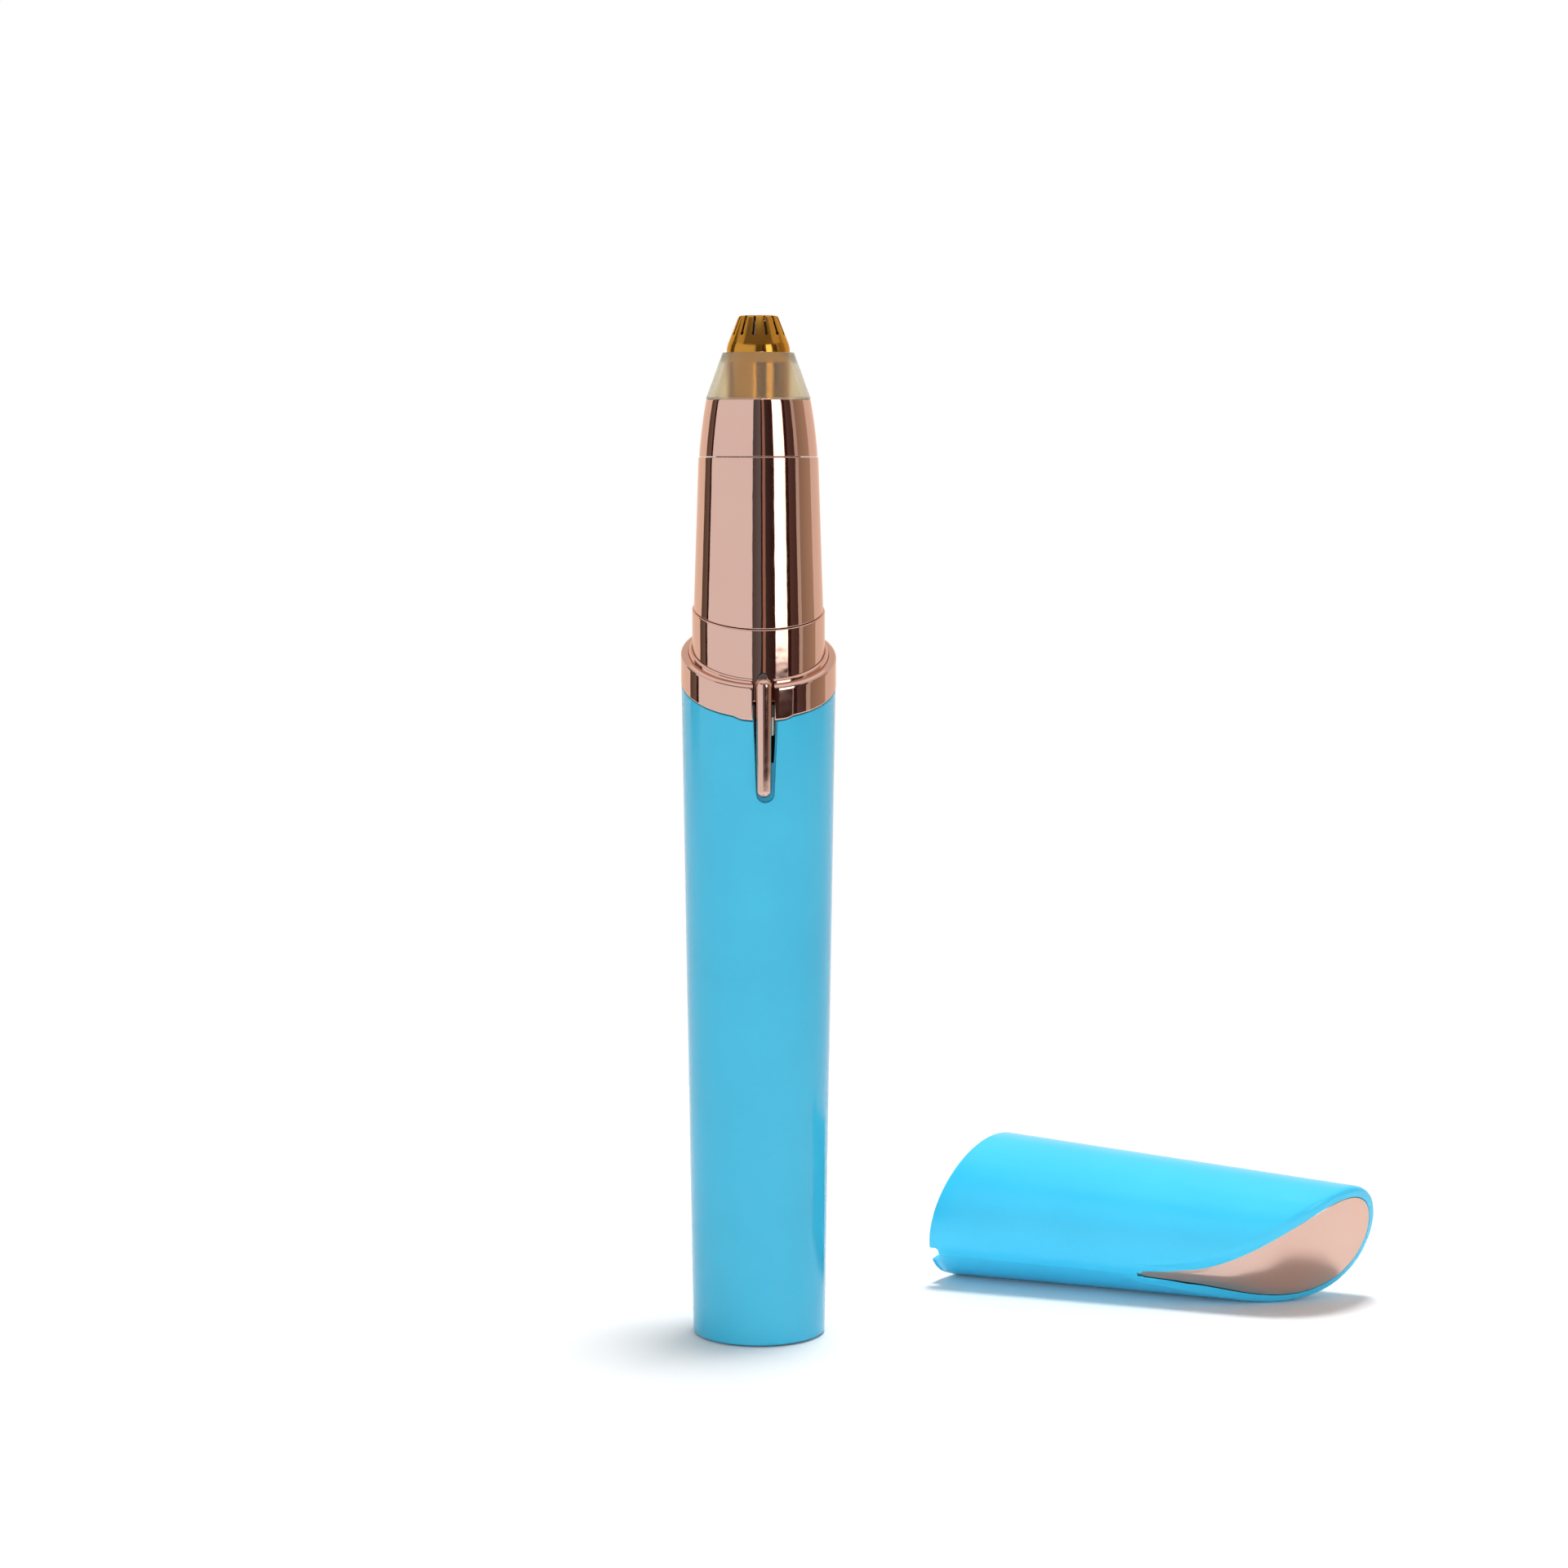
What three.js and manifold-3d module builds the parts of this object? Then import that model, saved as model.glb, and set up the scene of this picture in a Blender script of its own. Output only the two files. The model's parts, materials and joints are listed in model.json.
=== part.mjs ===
// An electric eyebrow trimmer standing on its base, with its cap taken off and lying beside it.
// Millimetres, +Z up. The origin is the centre of the barrel's base. The trimmer is built with its
// front towards -Y inside a group that is turned about Z, and the cap's axis lies along +X.

import * as THREE from 'three';
import { mergeVertices } from 'three/addons/utils/BufferGeometryUtils.js';
import loadManifold from 'manifold-3d';

const wasm = await loadManifold();
wasm.setup();

// Clearances and roundness
const GAP = 0.3; // between pieces that stand or slide side by side
const FIT = 0.15; // round small pins and contacts
const SEAM = 0.2; // between the shells that meet in a visible line
const ROUND = 48; // sides of the shells
const INNER_ROUND = 20; // sides of the round pieces inside
const SLANT_STEPS = 16; // along the cap's slanted end

// Places of the trimmer and the cap
const TRIMMER_TURN = 25.8; // degrees about Z
const CAP_X = 12.4; // the front of the cap's rim, along the cap
const CAP_Y = 38.0; // the cap's axis
const CAP_ROLL = 35.7; // degrees that the cap's front line lies below level

// Barrel
const BARREL_HEIGHT = 80.9; // of the slanted rim, on the axis
const BARREL_BASE_R = 8.2;
const BARREL_RIM_R = 9.45;
const BARREL_WALL = 1.2;
const BARREL_FLOOR = 2.0;
const BASE_EDGE = 0.4; // rounding of the bottom edge
const BASE_PAD_R = 7.3;
const BASE_PAD_THICK = 0.9;
const BASE_STAND = 0.15; // how far the pad stands out below the barrel
const RIM_TILT = 21.5; // degrees, lower at the front

// Slot of the clip, measured down from the rim on the axis
const SLOT_LENGTH = 13.7;
const OPENING_LENGTH = 9.0; // the part of the slot that goes right through
const SLOT_RIM_WIDTH = 2.9;
const SLOT_FOOT_WIDTH = 2.2;
const RECESS_FLOOR = 0.45; // wall left behind the slot's foot

// Clip and its stem
const CLIP_LENGTH = 14.4;
const CLIP_FOOT_GAP = 0.6; // to the slot's foot
const CLIP_TOP_WIDTH = 2.0;
const CLIP_FOOT_WIDTH = 1.7;
const CLIP_RISE = 1.0; // above the barrel's rim radius
const STEM_WIDTH = 1.4;
const STEM_HEIGHT = 1.4;
const LEVER_DEPTH = 1.6;

// Collar
const COLLAR_R = 9.5;
const COLLAR_HEIGHT = 3.5; // of its outer wall, on the axis
const COLLAR_TILT = 21.5; // degrees, of the shoulder's outer edge
const LIP_TILT = 22.0; // degrees, of the lip round the neck
const LIP_RISE = 0.9; // of the lip above the outer wall, on the axis
const LIP_DEPTH = 0.25; // of the groove outside the lip
const LIP_WIDTH = 0.2;

// Neck and sleeve
const NECK_R = 8.12;
const NECK_WALL = 1.27;
const NECK_HEIGHT = 9.2; // of its slanted top above the barrel's rim, on the axis
const NECK_TILT = 15.5; // degrees
const NECK_EDGE = 0.2;
const SLEEVE_LENGTH = 18.45;
const SLEEVE_FOOT_R = 7.92;
const SLEEVE_TOP_R = 7.31;
const SLEEVE_WALL = 1.0;

// Light
const LENS_R = 0.7;
const LENS_HEIGHT = 1.2; // of its middle above the barrel's rim, on the axis
const LENS_RISE = 0.3; // out of the neck
const LENS_LENGTH = 0.9; // of its straight part
const EMITTER_SIZE = 1.2;
const EMITTER_DEPTH = 0.6;

// Chassis frame
const FRAME_R = 6.5;
const FRAME_END = 1.4; // thickness of the walls at the ends of the battery bay
const FRAME_HEAD = 3.6; // thickness of the flange at the barrel's mouth
const FRAME_DROP = 2.0; // of the flange's top below the barrel's rim, on the axis
const FRAME_HEAD_BORE = 3.2;
const BAY_MOUTH = 2.0; // from the axis to the edges of the battery bay's opening
const BAY_R = 5.6; // of the electronics bay
const COVER_BACK = 0.8; // from the axis to the cover's edges
const BOSS_R = 1.8;
const BOSS_HEIGHT = 2.1; // of the screw above the electronics bay's floor
const SCREW_R = 0.7;
const SCREW_HEAD_R = 1.3;
const SCREW_HEAD = 0.5;
const SCREW_LENGTH = 6.0;

// Battery and contacts
const CELL_R = 5.25;
const CELL_LENGTH = 44.5;
const CELL_NUB_R = 1.9;
const CELL_NUB = 0.9;
const SPRING_HEIGHT = 3.6;
const SPRING_R = 3.0;
const SPRING_WIRE = 0.25;
const SPRING_TURNS = 4;
const CONTACT_R = 3.4;
const CONTACT_THICK = 0.4;
const STRIP_WIDTH = 3.0;
const STRIP_LENGTH = 58.0;

// Electronics
const BOARD_THICK = 1.0;
const BOARD_FOOT = 5.6; // above the electronics bay's floor
const SWITCH_WIDTH = 4.0;
const SWITCH_DEPTH = 3.2;
const SWITCH_HEIGHT = 8.0;
const LEAD_R = 0.4;
const LEAD_SPREAD = 1.8; // of the two leads' upper ends from the middle
const LEAD_FOOT_SPREAD = 2.7; // of their lower ends
const LEAD_FOOT_DROP = 3.0; // of their lower ends below the board's top

// Motor
const MOTOR_R = 5.9;
const MOTOR_LENGTH = 18.0;
const MOTOR_WALL = 0.5;
const MOTOR_END = 1.8; // thickness of the end cap
const SHAFT_R = 0.75;
const SHAFT_RISE = 4.2; // above the can
const BEARING_R = 1.6;
const BEARING_HEIGHT = 1.4;
const TERMINAL_HEIGHT = 1.6;
const TERMINAL_WIDTH = 1.2;
const TERMINAL_THICK = 0.4;
const MAGNET_THICK = 0.7;
const MAGNET_LENGTH = 11.0;
const MAGNET_SPAN = 130; // degrees
const AIR_GAP = 0.35;
const POLE_SHOE = 0.6;
const POLE_SPAN = 92; // degrees
const POLE_ARM = 1.4;
const CORE_HUB_R = 1.6;
const CORE_LENGTH = 9.0;
const CORE_FOOT = 4.4; // above the can's foot
const COIL_SPAN = 52; // degrees
const COMMUTATOR_R = 1.5;
const COMMUTATOR_HEIGHT = 2.6;
const DAMPER_HEIGHT = 1.5;
const LOWER_DAMPER_RISE = 5.4; // above the motor's foot
const UPPER_DAMPER_DROP = 3.0; // below the motor's top
const COUPLING_R = 2.3;
const COUPLING_HEIGHT = 5.4;
const COUPLING_SOCKET = 2.4; // depth of the slot for the spindle's tongue
const TONGUE_THICK = 1.0;

// Pull-off head
const HEAD_HEIGHT = 6.75;
const HEAD_FOOT_R = 7.21;
const HEAD_TOP_R = 6.35;
const HEAD_BULGE = 0.1;
const HEAD_WALL = 0.9;
const HEAD_LIP = 0.8;
const PLUG_LENGTH = 5.6; // of the head frame inside the sleeve
const PLUG_WALL = 1.1;
const WEB_RISE = 2.0; // of the head frame's web above the plug's foot
const WEB_THICK = 1.4;
const GUARD_HEIGHT = 5.5;
const GUARD_FOOT_R = 6.4;
const GUARD_TOP_R = 4.35;
const GUARD_WALL = 0.95;
const GUARD_LAND = 1.4; // straight part of the guard's bore

// Foil and cutter
const FOIL_RISE = 4.45; // above the guard
const FOIL_SKIRT_R = 3.85;
const FOIL_TOP_R = 2.15; // of its flat top
const FOIL_CONE = 3.35; // height of the cone below the rounded top edge
const FOIL_CONE_R = 2.53; // at the top of the cone
const FOIL_EDGE = 0.42; // height of the rounded top edge
const FOIL_EDGE_R = 2.4; // of the middle of that edge
const FOIL_EDGE_RISE = 0.29; // of the middle of that edge above the cone
const FOIL_SHOULDER = 0.25; // drawn in where the cone leaves the skirt
const FOIL_WALL = 0.35;
const FOIL_FLANGE = 0.75;
const FOIL_SLOTS = 13;
const FOIL_SLOT_WIDTH = 0.28;
const FOIL_SLOT_DEPTH = 2.4; // below the top
const FOIL_SLOT_INNER_R = 1.0;
const CUTTER_GAP = 0.25;
const CUTTER_HEIGHT = 7.6;
const CUTTER_TEETH = 6;
const CUTTER_NOTCH = 0.9;
const CUTTER_NOTCH_FOOT = 2.5; // above the cutter's foot
const CUTTER_CORE_R = 1.4;
const SPINDLE_R = 0.8;
const BUSH_WALL = 0.5;
const CUTTER_SPRING_R = 1.9;
const CUTTER_SPRING_WIRE = 0.2;
const CUTTER_SPRING_TURNS = 6;

// Cap, measured from the front of its rim
const CAP_LENGTH = 55.6;
const CAP_RIM_R = 9.9;
const CAP_TAPER = 2.1; // degrees, half angle
const CAP_WALL = 0.9;
const CAP_END_WALL = 0.9;
const NOTCH_WIDTH = 2.4;
const NOTCH_DEPTH = 1.2;
const SLANT_TAIL = 28.6; // where the slant leaves the front line
const SLANT_TAIL_DEPTH = 0.15; // of the slant's first point in the cap's side
const SLANT_STEEP = 9.9; // how far the slant runs close to the front line
const SLANT_STEEP_DEPTH = 0.85; // of its first control point
const SLANT_TURN = 6.8; // how far below its end the slant turns over
const SLANT_TURN_DEPTH = 1.25; // of its second control point
const SLANT_END_DROP = 0.6; // of the slant's last point below the cap's end
const INLAY_THICK = 0.6;
const INLAY_INSET = 1.4; // width of the border round the inlay
const INLAY_FULL = 21.4; // from the inlay's tail to where its border reaches that width
const INLAY_TAIL_INSET = 0.13; // width of the border at the tail
const INLAY_NECK = 5.4; // from the tail to the inlay's slim neck
const INLAY_NECK_INSET = 0.29; // width of the border there
const INLAY_FLARE = 9.4; // from the tail to where the inlay flares
const INLAY_FLARE_INSET = 0.56; // width of the border there
const TAIL_GAP = 0.7; // side of the square gap at the inlay's tail

const DEGREES = Math.PI / 180;
const slope = (angle) => Math.tan(angle * DEGREES);

// Places that follow from the sizes
const barrelSlope = (BARREL_RIM_R - BARREL_BASE_R) / BARREL_HEIGHT;
const barrelOuter = (z) => BARREL_BASE_R + barrelSlope * z;
const barrelInner = (z) => barrelOuter(z) - BARREL_WALL;
const slotFoot = BARREL_HEIGHT - SLOT_LENGTH;
const openingFoot = BARREL_HEIGHT - OPENING_LENGTH;
const recessPlane = barrelInner(openingFoot) + RECESS_FLOOR;
const clipFoot = slotFoot + CLIP_FOOT_GAP;
const clipBack = recessPlane + GAP;
const clipFront = BARREL_RIM_R + CLIP_RISE;
const frameFoot = BARREL_FLOOR + GAP;
const bayFoot = frameFoot + FRAME_END;
const cellFoot = bayFoot + FIT + SPRING_HEIGHT + FIT;
const cellTop = cellFoot + CELL_LENGTH;
const contactFoot = cellTop + FIT;
const bayTop = contactFoot + CONTACT_THICK + FIT;
const electronicsFoot = bayTop + FRAME_END;
const frameTop = BARREL_HEIGHT - FRAME_DROP;
const electronicsTop = frameTop - FRAME_HEAD;
const frameHeadR = barrelInner(electronicsTop) - GAP;
const cellBayR = CELL_R + GAP;
const boardBack = GAP * 2;
const boardFront = boardBack - BOARD_THICK;
const boardTop = electronicsTop - GAP * 2;
const switchBack = boardFront - FIT;
const switchFront = switchBack - SWITCH_DEPTH;
const stemFoot = openingFoot + GAP;
const neckFoot = frameTop + GAP;
const neckTop = BARREL_HEIGHT + NECK_HEIGHT;
const neckBore = NECK_R - NECK_WALL;
const collarBore = NECK_R + GAP;
const collarTop = BARREL_HEIGHT + COLLAR_HEIGHT;
const sleeveTop = neckTop + SLEEVE_LENGTH;
const sleeveOuter = (z) => SLEEVE_TOP_R + (SLEEVE_FOOT_R - SLEEVE_TOP_R) * (sleeveTop - z) / SLEEVE_LENGTH;
const sleeveInner = (z) => sleeveOuter(z) - SLEEVE_WALL;
const lensMiddle = BARREL_HEIGHT + LENS_HEIGHT;
const motorFoot = neckFoot;
const canFoot = motorFoot + MOTOR_END + FIT;
const canTop = motorFoot + MOTOR_LENGTH;
const canBore = MOTOR_R - MOTOR_WALL;
const magnetOuter = canBore - FIT;
const magnetInner = magnetOuter - MAGNET_THICK;
const poleOuter = magnetInner - AIR_GAP;
const poleInner = poleOuter - POLE_SHOE;
const coreFoot = canFoot + CORE_FOOT;
const coreTop = coreFoot + CORE_LENGTH;
const shaftTop = canTop + SHAFT_RISE;
const couplingTop = shaftTop + GAP + COUPLING_SOCKET;
const couplingFoot = couplingTop - COUPLING_HEIGHT;
const headFoot = sleeveTop + SEAM;
const headTop = headFoot + HEAD_HEIGHT;
const plugFoot = sleeveTop - PLUG_LENGTH;
const plugR = SLEEVE_TOP_R - SLEEVE_WALL - GAP;
const webFoot = plugFoot + WEB_RISE;
const webTop = webFoot + WEB_THICK;
const foilFlangeR = FOIL_SKIRT_R + FOIL_FLANGE;
const headLipFoot = headTop - HEAD_LIP;
const flangeTop = headLipFoot - GAP;
const flangeFoot = flangeTop - FOIL_WALL;
const plugTop = flangeFoot - GAP;
const guardFoot = headTop + FIT;
const guardTop = guardFoot + GUARD_HEIGHT;
const foilTop = guardTop + FOIL_RISE;
const foilConeTop = foilTop - FOIL_EDGE;
const foilConeFoot = foilConeTop - FOIL_CONE;
const foilSkirtTop = foilConeFoot - FOIL_SHOULDER;
const cutterTop = foilTop - FOIL_WALL - CUTTER_GAP;
const cutterFoot = cutterTop - CUTTER_HEIGHT;
const spindleFoot = couplingTop - COUPLING_SOCKET + GAP;
const spindleTop = cutterFoot + CUTTER_HEIGHT / 2;
const bushR = SPINDLE_R + FIT + BUSH_WALL;

// Finishes
const finish = (color, roughness, metalness, opacity = 1) => new THREE.MeshStandardMaterial({
  color, roughness, metalness, opacity, transparent: opacity < 1,
});
const barrelBlue = finish(0x50b7d9, 0.25, 0);
const capBlue = finish(0x4fcdfa, 0.25, 0);
const roseGold = finish(0xd8b0a2, 0.12, 1);
const satinRose = finish(0xd3a793, 0.3, 1);
const gold = finish(0x9b7430, 0.25, 1);
const frosted = finish(0xc9c3a6, 0.4, 0, 0.5);
const clear = finish(0xe8eef0, 0.1, 0, 0.4);
const steel = finish(0xb8bbbf, 0.3, 1);
const nickel = finish(0xcfcfc8, 0.35, 1);
const copper = finish(0xb8703a, 0.4, 1);
const ferrite = finish(0x3a3c40, 0.7, 0);
const greyPlastic = finish(0x6d7276, 0.6, 0);
const blackPlastic = finish(0x1d1f21, 0.6, 0);
const whitePlastic = finish(0xe6e6e0, 0.5, 0);
const rubber = finish(0x232323, 0.85, 0);
const cellGreen = finish(0x2f6d4a, 0.4, 0);
const boardGreen = finish(0x1f5a36, 0.5, 0);
const redPlastic = finish(0xb3312b, 0.5, 0);

// Turns a closed geometry into a solid that can be joined and cut.
function solid(geometry) {
  geometry.deleteAttribute('normal');
  geometry.deleteAttribute('uv');
  const merged = mergeVertices(geometry, 1e-5);
  const index = merged.index.array;
  const triangles = [];
  for (let i = 0; i < index.length; i += 3) {
    const [a, b, c] = [index[i], index[i + 1], index[i + 2]];
    if (a !== b && b !== c && c !== a) triangles.push(a, b, c);
  }
  return new wasm.Manifold(new wasm.Mesh({
    numProp: 3,
    vertProperties: merged.attributes.position.array,
    triVerts: new Uint32Array(triangles),
  }));
}

// Names a solid and gives it its finish.
function piece(name, body, material) {
  const { vertProperties, triVerts } = body.getMesh();
  const geometry = new THREE.BufferGeometry();
  geometry.setAttribute('position', new THREE.BufferAttribute(new Float32Array(vertProperties), 3));
  geometry.setIndex(new THREE.BufferAttribute(new Uint32Array(triVerts), 1));
  geometry.computeVertexNormals();
  const mesh = new THREE.Mesh(geometry, material);
  mesh.name = name;
  return mesh;
}

// A body round the Z axis. sectionAt(angle) gives its closed section as [radius, height] pairs,
// counter-clockwise, and may change with the angle, which is 0 at the front and grows to the right.
function ring(sectionAt, sides) {
  const positions = [];
  const triangles = [];
  const count = sectionAt(0).length;
  for (let i = 0; i < sides; i += 1) {
    const angle = 2 * Math.PI * i / sides;
    for (const [radius, height] of sectionAt(angle)) {
      positions.push(radius * Math.sin(angle), -radius * Math.cos(angle), height);
    }
  }
  for (let i = 0; i < sides; i += 1) {
    const next = (i + 1) % sides;
    for (let j = 0; j < count; j += 1) {
      const up = (j + 1) % count;
      const corners = [i * count + j, next * count + j, next * count + up, i * count + up];
      triangles.push(corners[0], corners[1], corners[3], corners[1], corners[2], corners[3]);
    }
  }
  const geometry = new THREE.BufferGeometry();
  geometry.setAttribute('position', new THREE.Float32BufferAttribute(positions, 3));
  geometry.setIndex(triangles);
  return solid(geometry);
}

const turned = (section, sides = INNER_ROUND) => ring(() => section, sides);
const disc = (radius, foot, top, sides) => turned(
  [[0, foot], [radius, foot], [radius, top], [0, top]], sides);
const tube = (inner, outer, foot, top, sides) => turned(
  [[inner, foot], [outer, foot], [outer, top], [inner, top]], sides);

// Height of a slanted plane, lower at the front, at a radius and angle.
const slanted = (middle, tilt, radius, angle) => middle - radius * Math.cos(angle) * slope(tilt);

// A block between two corners.
function block(low, high) {
  const size = high.map((value, i) => value - low[i]);
  const middle = high.map((value, i) => (value + low[i]) / 2);
  return solid(new THREE.BoxGeometry(...size).translate(...middle));
}

// An outline in X and Z, made solid between two distances in front of the axis.
function frontPlate(points, near, far) {
  const outline = new THREE.Shape(points.map(([x, z]) => new THREE.Vector2(x, z)));
  const geometry = new THREE.ExtrudeGeometry(outline, { depth: far - near, bevelEnabled: false });
  return solid(geometry.rotateX(Math.PI / 2).translate(0, -near, 0));
}

// An outline in X and Y, made solid between two heights.
function floorPlate(points, foot, top) {
  const outline = new THREE.Shape(points.map(([x, y]) => new THREE.Vector2(x, y)));
  const geometry = new THREE.ExtrudeGeometry(outline, { depth: top - foot, bevelEnabled: false });
  return solid(geometry.translate(0, 0, foot));
}

// A round pin that runs forward, from one distance in front of the axis to another.
function frontPin(radius, near, far, height) {
  const geometry = new THREE.CylinderGeometry(radius, radius, far - near, INNER_ROUND);
  return solid(geometry.translate(0, -(near + far) / 2, height));
}

// Points of an arc in a plane, in degrees.
function arc(x, y, radius, from, to, steps) {
  const points = [];
  for (let i = 0; i <= steps; i += 1) {
    const angle = (from + (to - from) * i / steps) * DEGREES;
    points.push([x + radius * Math.cos(angle), y + radius * Math.sin(angle)]);
  }
  return points;
}

// A sector of a tube, its middle at an angle from +X.
function sector(inner, outer, middle, span, foot, top, steps) {
  const outside = arc(0, 0, outer, middle - span / 2, middle + span / 2, steps);
  const inside = arc(0, 0, inner, middle + span / 2, middle - span / 2, steps);
  return floorPlate([...outside, ...inside], foot, top);
}

// A round wire along a curve.
function wire(curve, radius, steps, sides) {
  const outline = new THREE.Shape(arc(0, 0, radius, 0, 360, sides).slice(0, sides).map(
    ([x, y]) => new THREE.Vector2(x, y)));
  return solid(new THREE.ExtrudeGeometry(outline, { steps, extrudePath: curve, bevelEnabled: false }));
}

class Helix extends THREE.Curve {
  constructor(radius, foot, top, turns) {
    super();
    Object.assign(this, { radius, foot, top, turns });
  }

  getPoint(t, target = new THREE.Vector3()) {
    const angle = 2 * Math.PI * this.turns * t;
    return target.set(this.radius * Math.cos(angle), this.radius * Math.sin(angle),
      this.foot + (this.top - this.foot) * t);
  }
}

function coilSpring(radius, wireRadius, foot, top, turns) {
  const stepsPerTurn = 8;
  const wireSides = 5;
  const helix = new Helix(radius, foot + wireRadius, top - wireRadius, turns);
  return wire(helix, wireRadius, turns * stepsPerTurn, wireSides);
}

// A tapered upright outline with round ends, for the clip and its slot.
function wedge(foot, top, footWidth, topWidth, roundTop) {
  const footR = footWidth / 2;
  const topR = topWidth / 2;
  const endSteps = 8;
  const lower = arc(0, foot + footR, footR, 180, 360, endSteps);
  const upper = roundTop ? arc(0, top - topR, topR, 0, 180, endSteps) : [[topR, top], [-topR, top]];
  return [...lower, ...upper];
}

// Barrel: a tapered cup with a slanted rim, the clip's slot and a bed for the base pad.
function barrelShell() {
  const edgeSteps = 3;
  const edge = arc(BARREL_BASE_R - BASE_EDGE, BASE_STAND + BASE_EDGE, BASE_EDGE, -90, 0, edgeSteps);
  const bed = BASE_PAD_THICK + FIT;
  const bedR = BASE_PAD_R + FIT;
  const cup = ring((angle) => {
    const outerZ = slanted(BARREL_HEIGHT, RIM_TILT, BARREL_RIM_R, angle);
    const innerZ = slanted(BARREL_HEIGHT, RIM_TILT, BARREL_RIM_R - BARREL_WALL, angle);
    return [
      [0, bed], [bedR, bed], [bedR, BASE_STAND], ...edge,
      [barrelOuter(outerZ), outerZ], [barrelInner(innerZ), innerZ],
      [barrelInner(BARREL_FLOOR), BARREL_FLOOR], [0, BARREL_FLOOR],
    ];
  }, ROUND);
  const beyond = BARREL_RIM_R * 2;
  const above = BARREL_HEIGHT + BARREL_RIM_R;
  const widthAt = (z) => SLOT_FOOT_WIDTH + (SLOT_RIM_WIDTH - SLOT_FOOT_WIDTH) * (z - slotFoot) / SLOT_LENGTH;
  const slot = wedge(slotFoot, above, SLOT_FOOT_WIDTH, widthAt(above), false);
  const opening = [[-1, openingFoot], [1, openingFoot], [1, above], [-1, above]].map(
    ([side, z]) => [side * widthAt(z) / 2, z]);
  return cup
    .subtract(frontPlate(slot, recessPlane, beyond))
    .subtract(frontPlate(opening, FRAME_R, beyond));
}

// Collar: a slanted ring with a rounded shoulder and a low lip round the neck, parted at the clip.
function collarRing() {
  const shoulderSteps = [15, 35, 60, 90];
  const shoulderFoot = collarBore + LIP_WIDTH;
  const body = ring((angle) => {
    const edge = slanted(collarTop, COLLAR_TILT, COLLAR_R, angle);
    const lip = slanted(collarTop + LIP_RISE, LIP_TILT, collarBore, angle);
    const foot = (radius) => slanted(BARREL_HEIGHT, RIM_TILT, radius, angle) + SEAM;
    const shoulder = shoulderSteps.map((step) => [
      shoulderFoot + (COLLAR_R - shoulderFoot) * Math.cos(step * DEGREES),
      edge + (lip - LIP_DEPTH - edge) * Math.sin(step * DEGREES),
    ]);
    return [
      [collarBore, foot(collarBore)], [COLLAR_R, foot(COLLAR_R)], [COLLAR_R, edge], ...shoulder,
      [shoulderFoot, lip], [collarBore, lip],
    ];
  }, ROUND);
  const halfChannel = CLIP_TOP_WIDTH / 2 + GAP;
  const beyond = COLLAR_R * 2;
  return body.subtract(block([-halfChannel, -beyond, slotFoot], [halfChannel, -neckBore, sleeveTop]));
}

function neckRing() {
  const body = ring((angle) => {
    const top = (radius) => slanted(neckTop, NECK_TILT, radius, angle);
    return [
      [neckBore, neckFoot], [NECK_R, neckFoot], [NECK_R, top(NECK_R) - NECK_EDGE],
      [NECK_R - NECK_EDGE, top(NECK_R - NECK_EDGE)], [neckBore, top(neckBore)],
    ];
  }, ROUND);
  return body.subtract(frontPin(LENS_R + GAP, neckBore - GAP, COLLAR_R, lensMiddle));
}

function upperSleeve() {
  return ring((angle) => {
    const foot = (radius) => slanted(neckTop, NECK_TILT, radius, angle) + SEAM;
    const outerFoot = foot(SLEEVE_FOOT_R);
    const innerFoot = foot(SLEEVE_FOOT_R - SLEEVE_WALL);
    return [
      [sleeveInner(innerFoot), innerFoot], [sleeveOuter(outerFoot), outerFoot],
      [SLEEVE_TOP_R, sleeveTop], [SLEEVE_TOP_R - SLEEVE_WALL, sleeveTop],
    ];
  }, ROUND);
}

// The lens stands in a hole of the neck: a short pin with a domed face.
function lightLens() {
  const face = NECK_R + LENS_RISE;
  const straight = frontPin(LENS_R, face - LENS_RISE - LENS_LENGTH, face - LENS_RISE, lensMiddle);
  const dome = solid(new THREE.SphereGeometry(LENS_R, INNER_ROUND, INNER_ROUND / 2)
    .scale(1, LENS_RISE / LENS_R, 1).translate(0, -(face - LENS_RISE), lensMiddle));
  return straight.add(dome);
}

function lightEmitter() {
  const half = EMITTER_SIZE / 2;
  const face = NECK_R - LENS_LENGTH - GAP;
  return block([-half, -face, lensMiddle - half], [half, -face + EMITTER_DEPTH, lensMiddle + half]);
}

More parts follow.
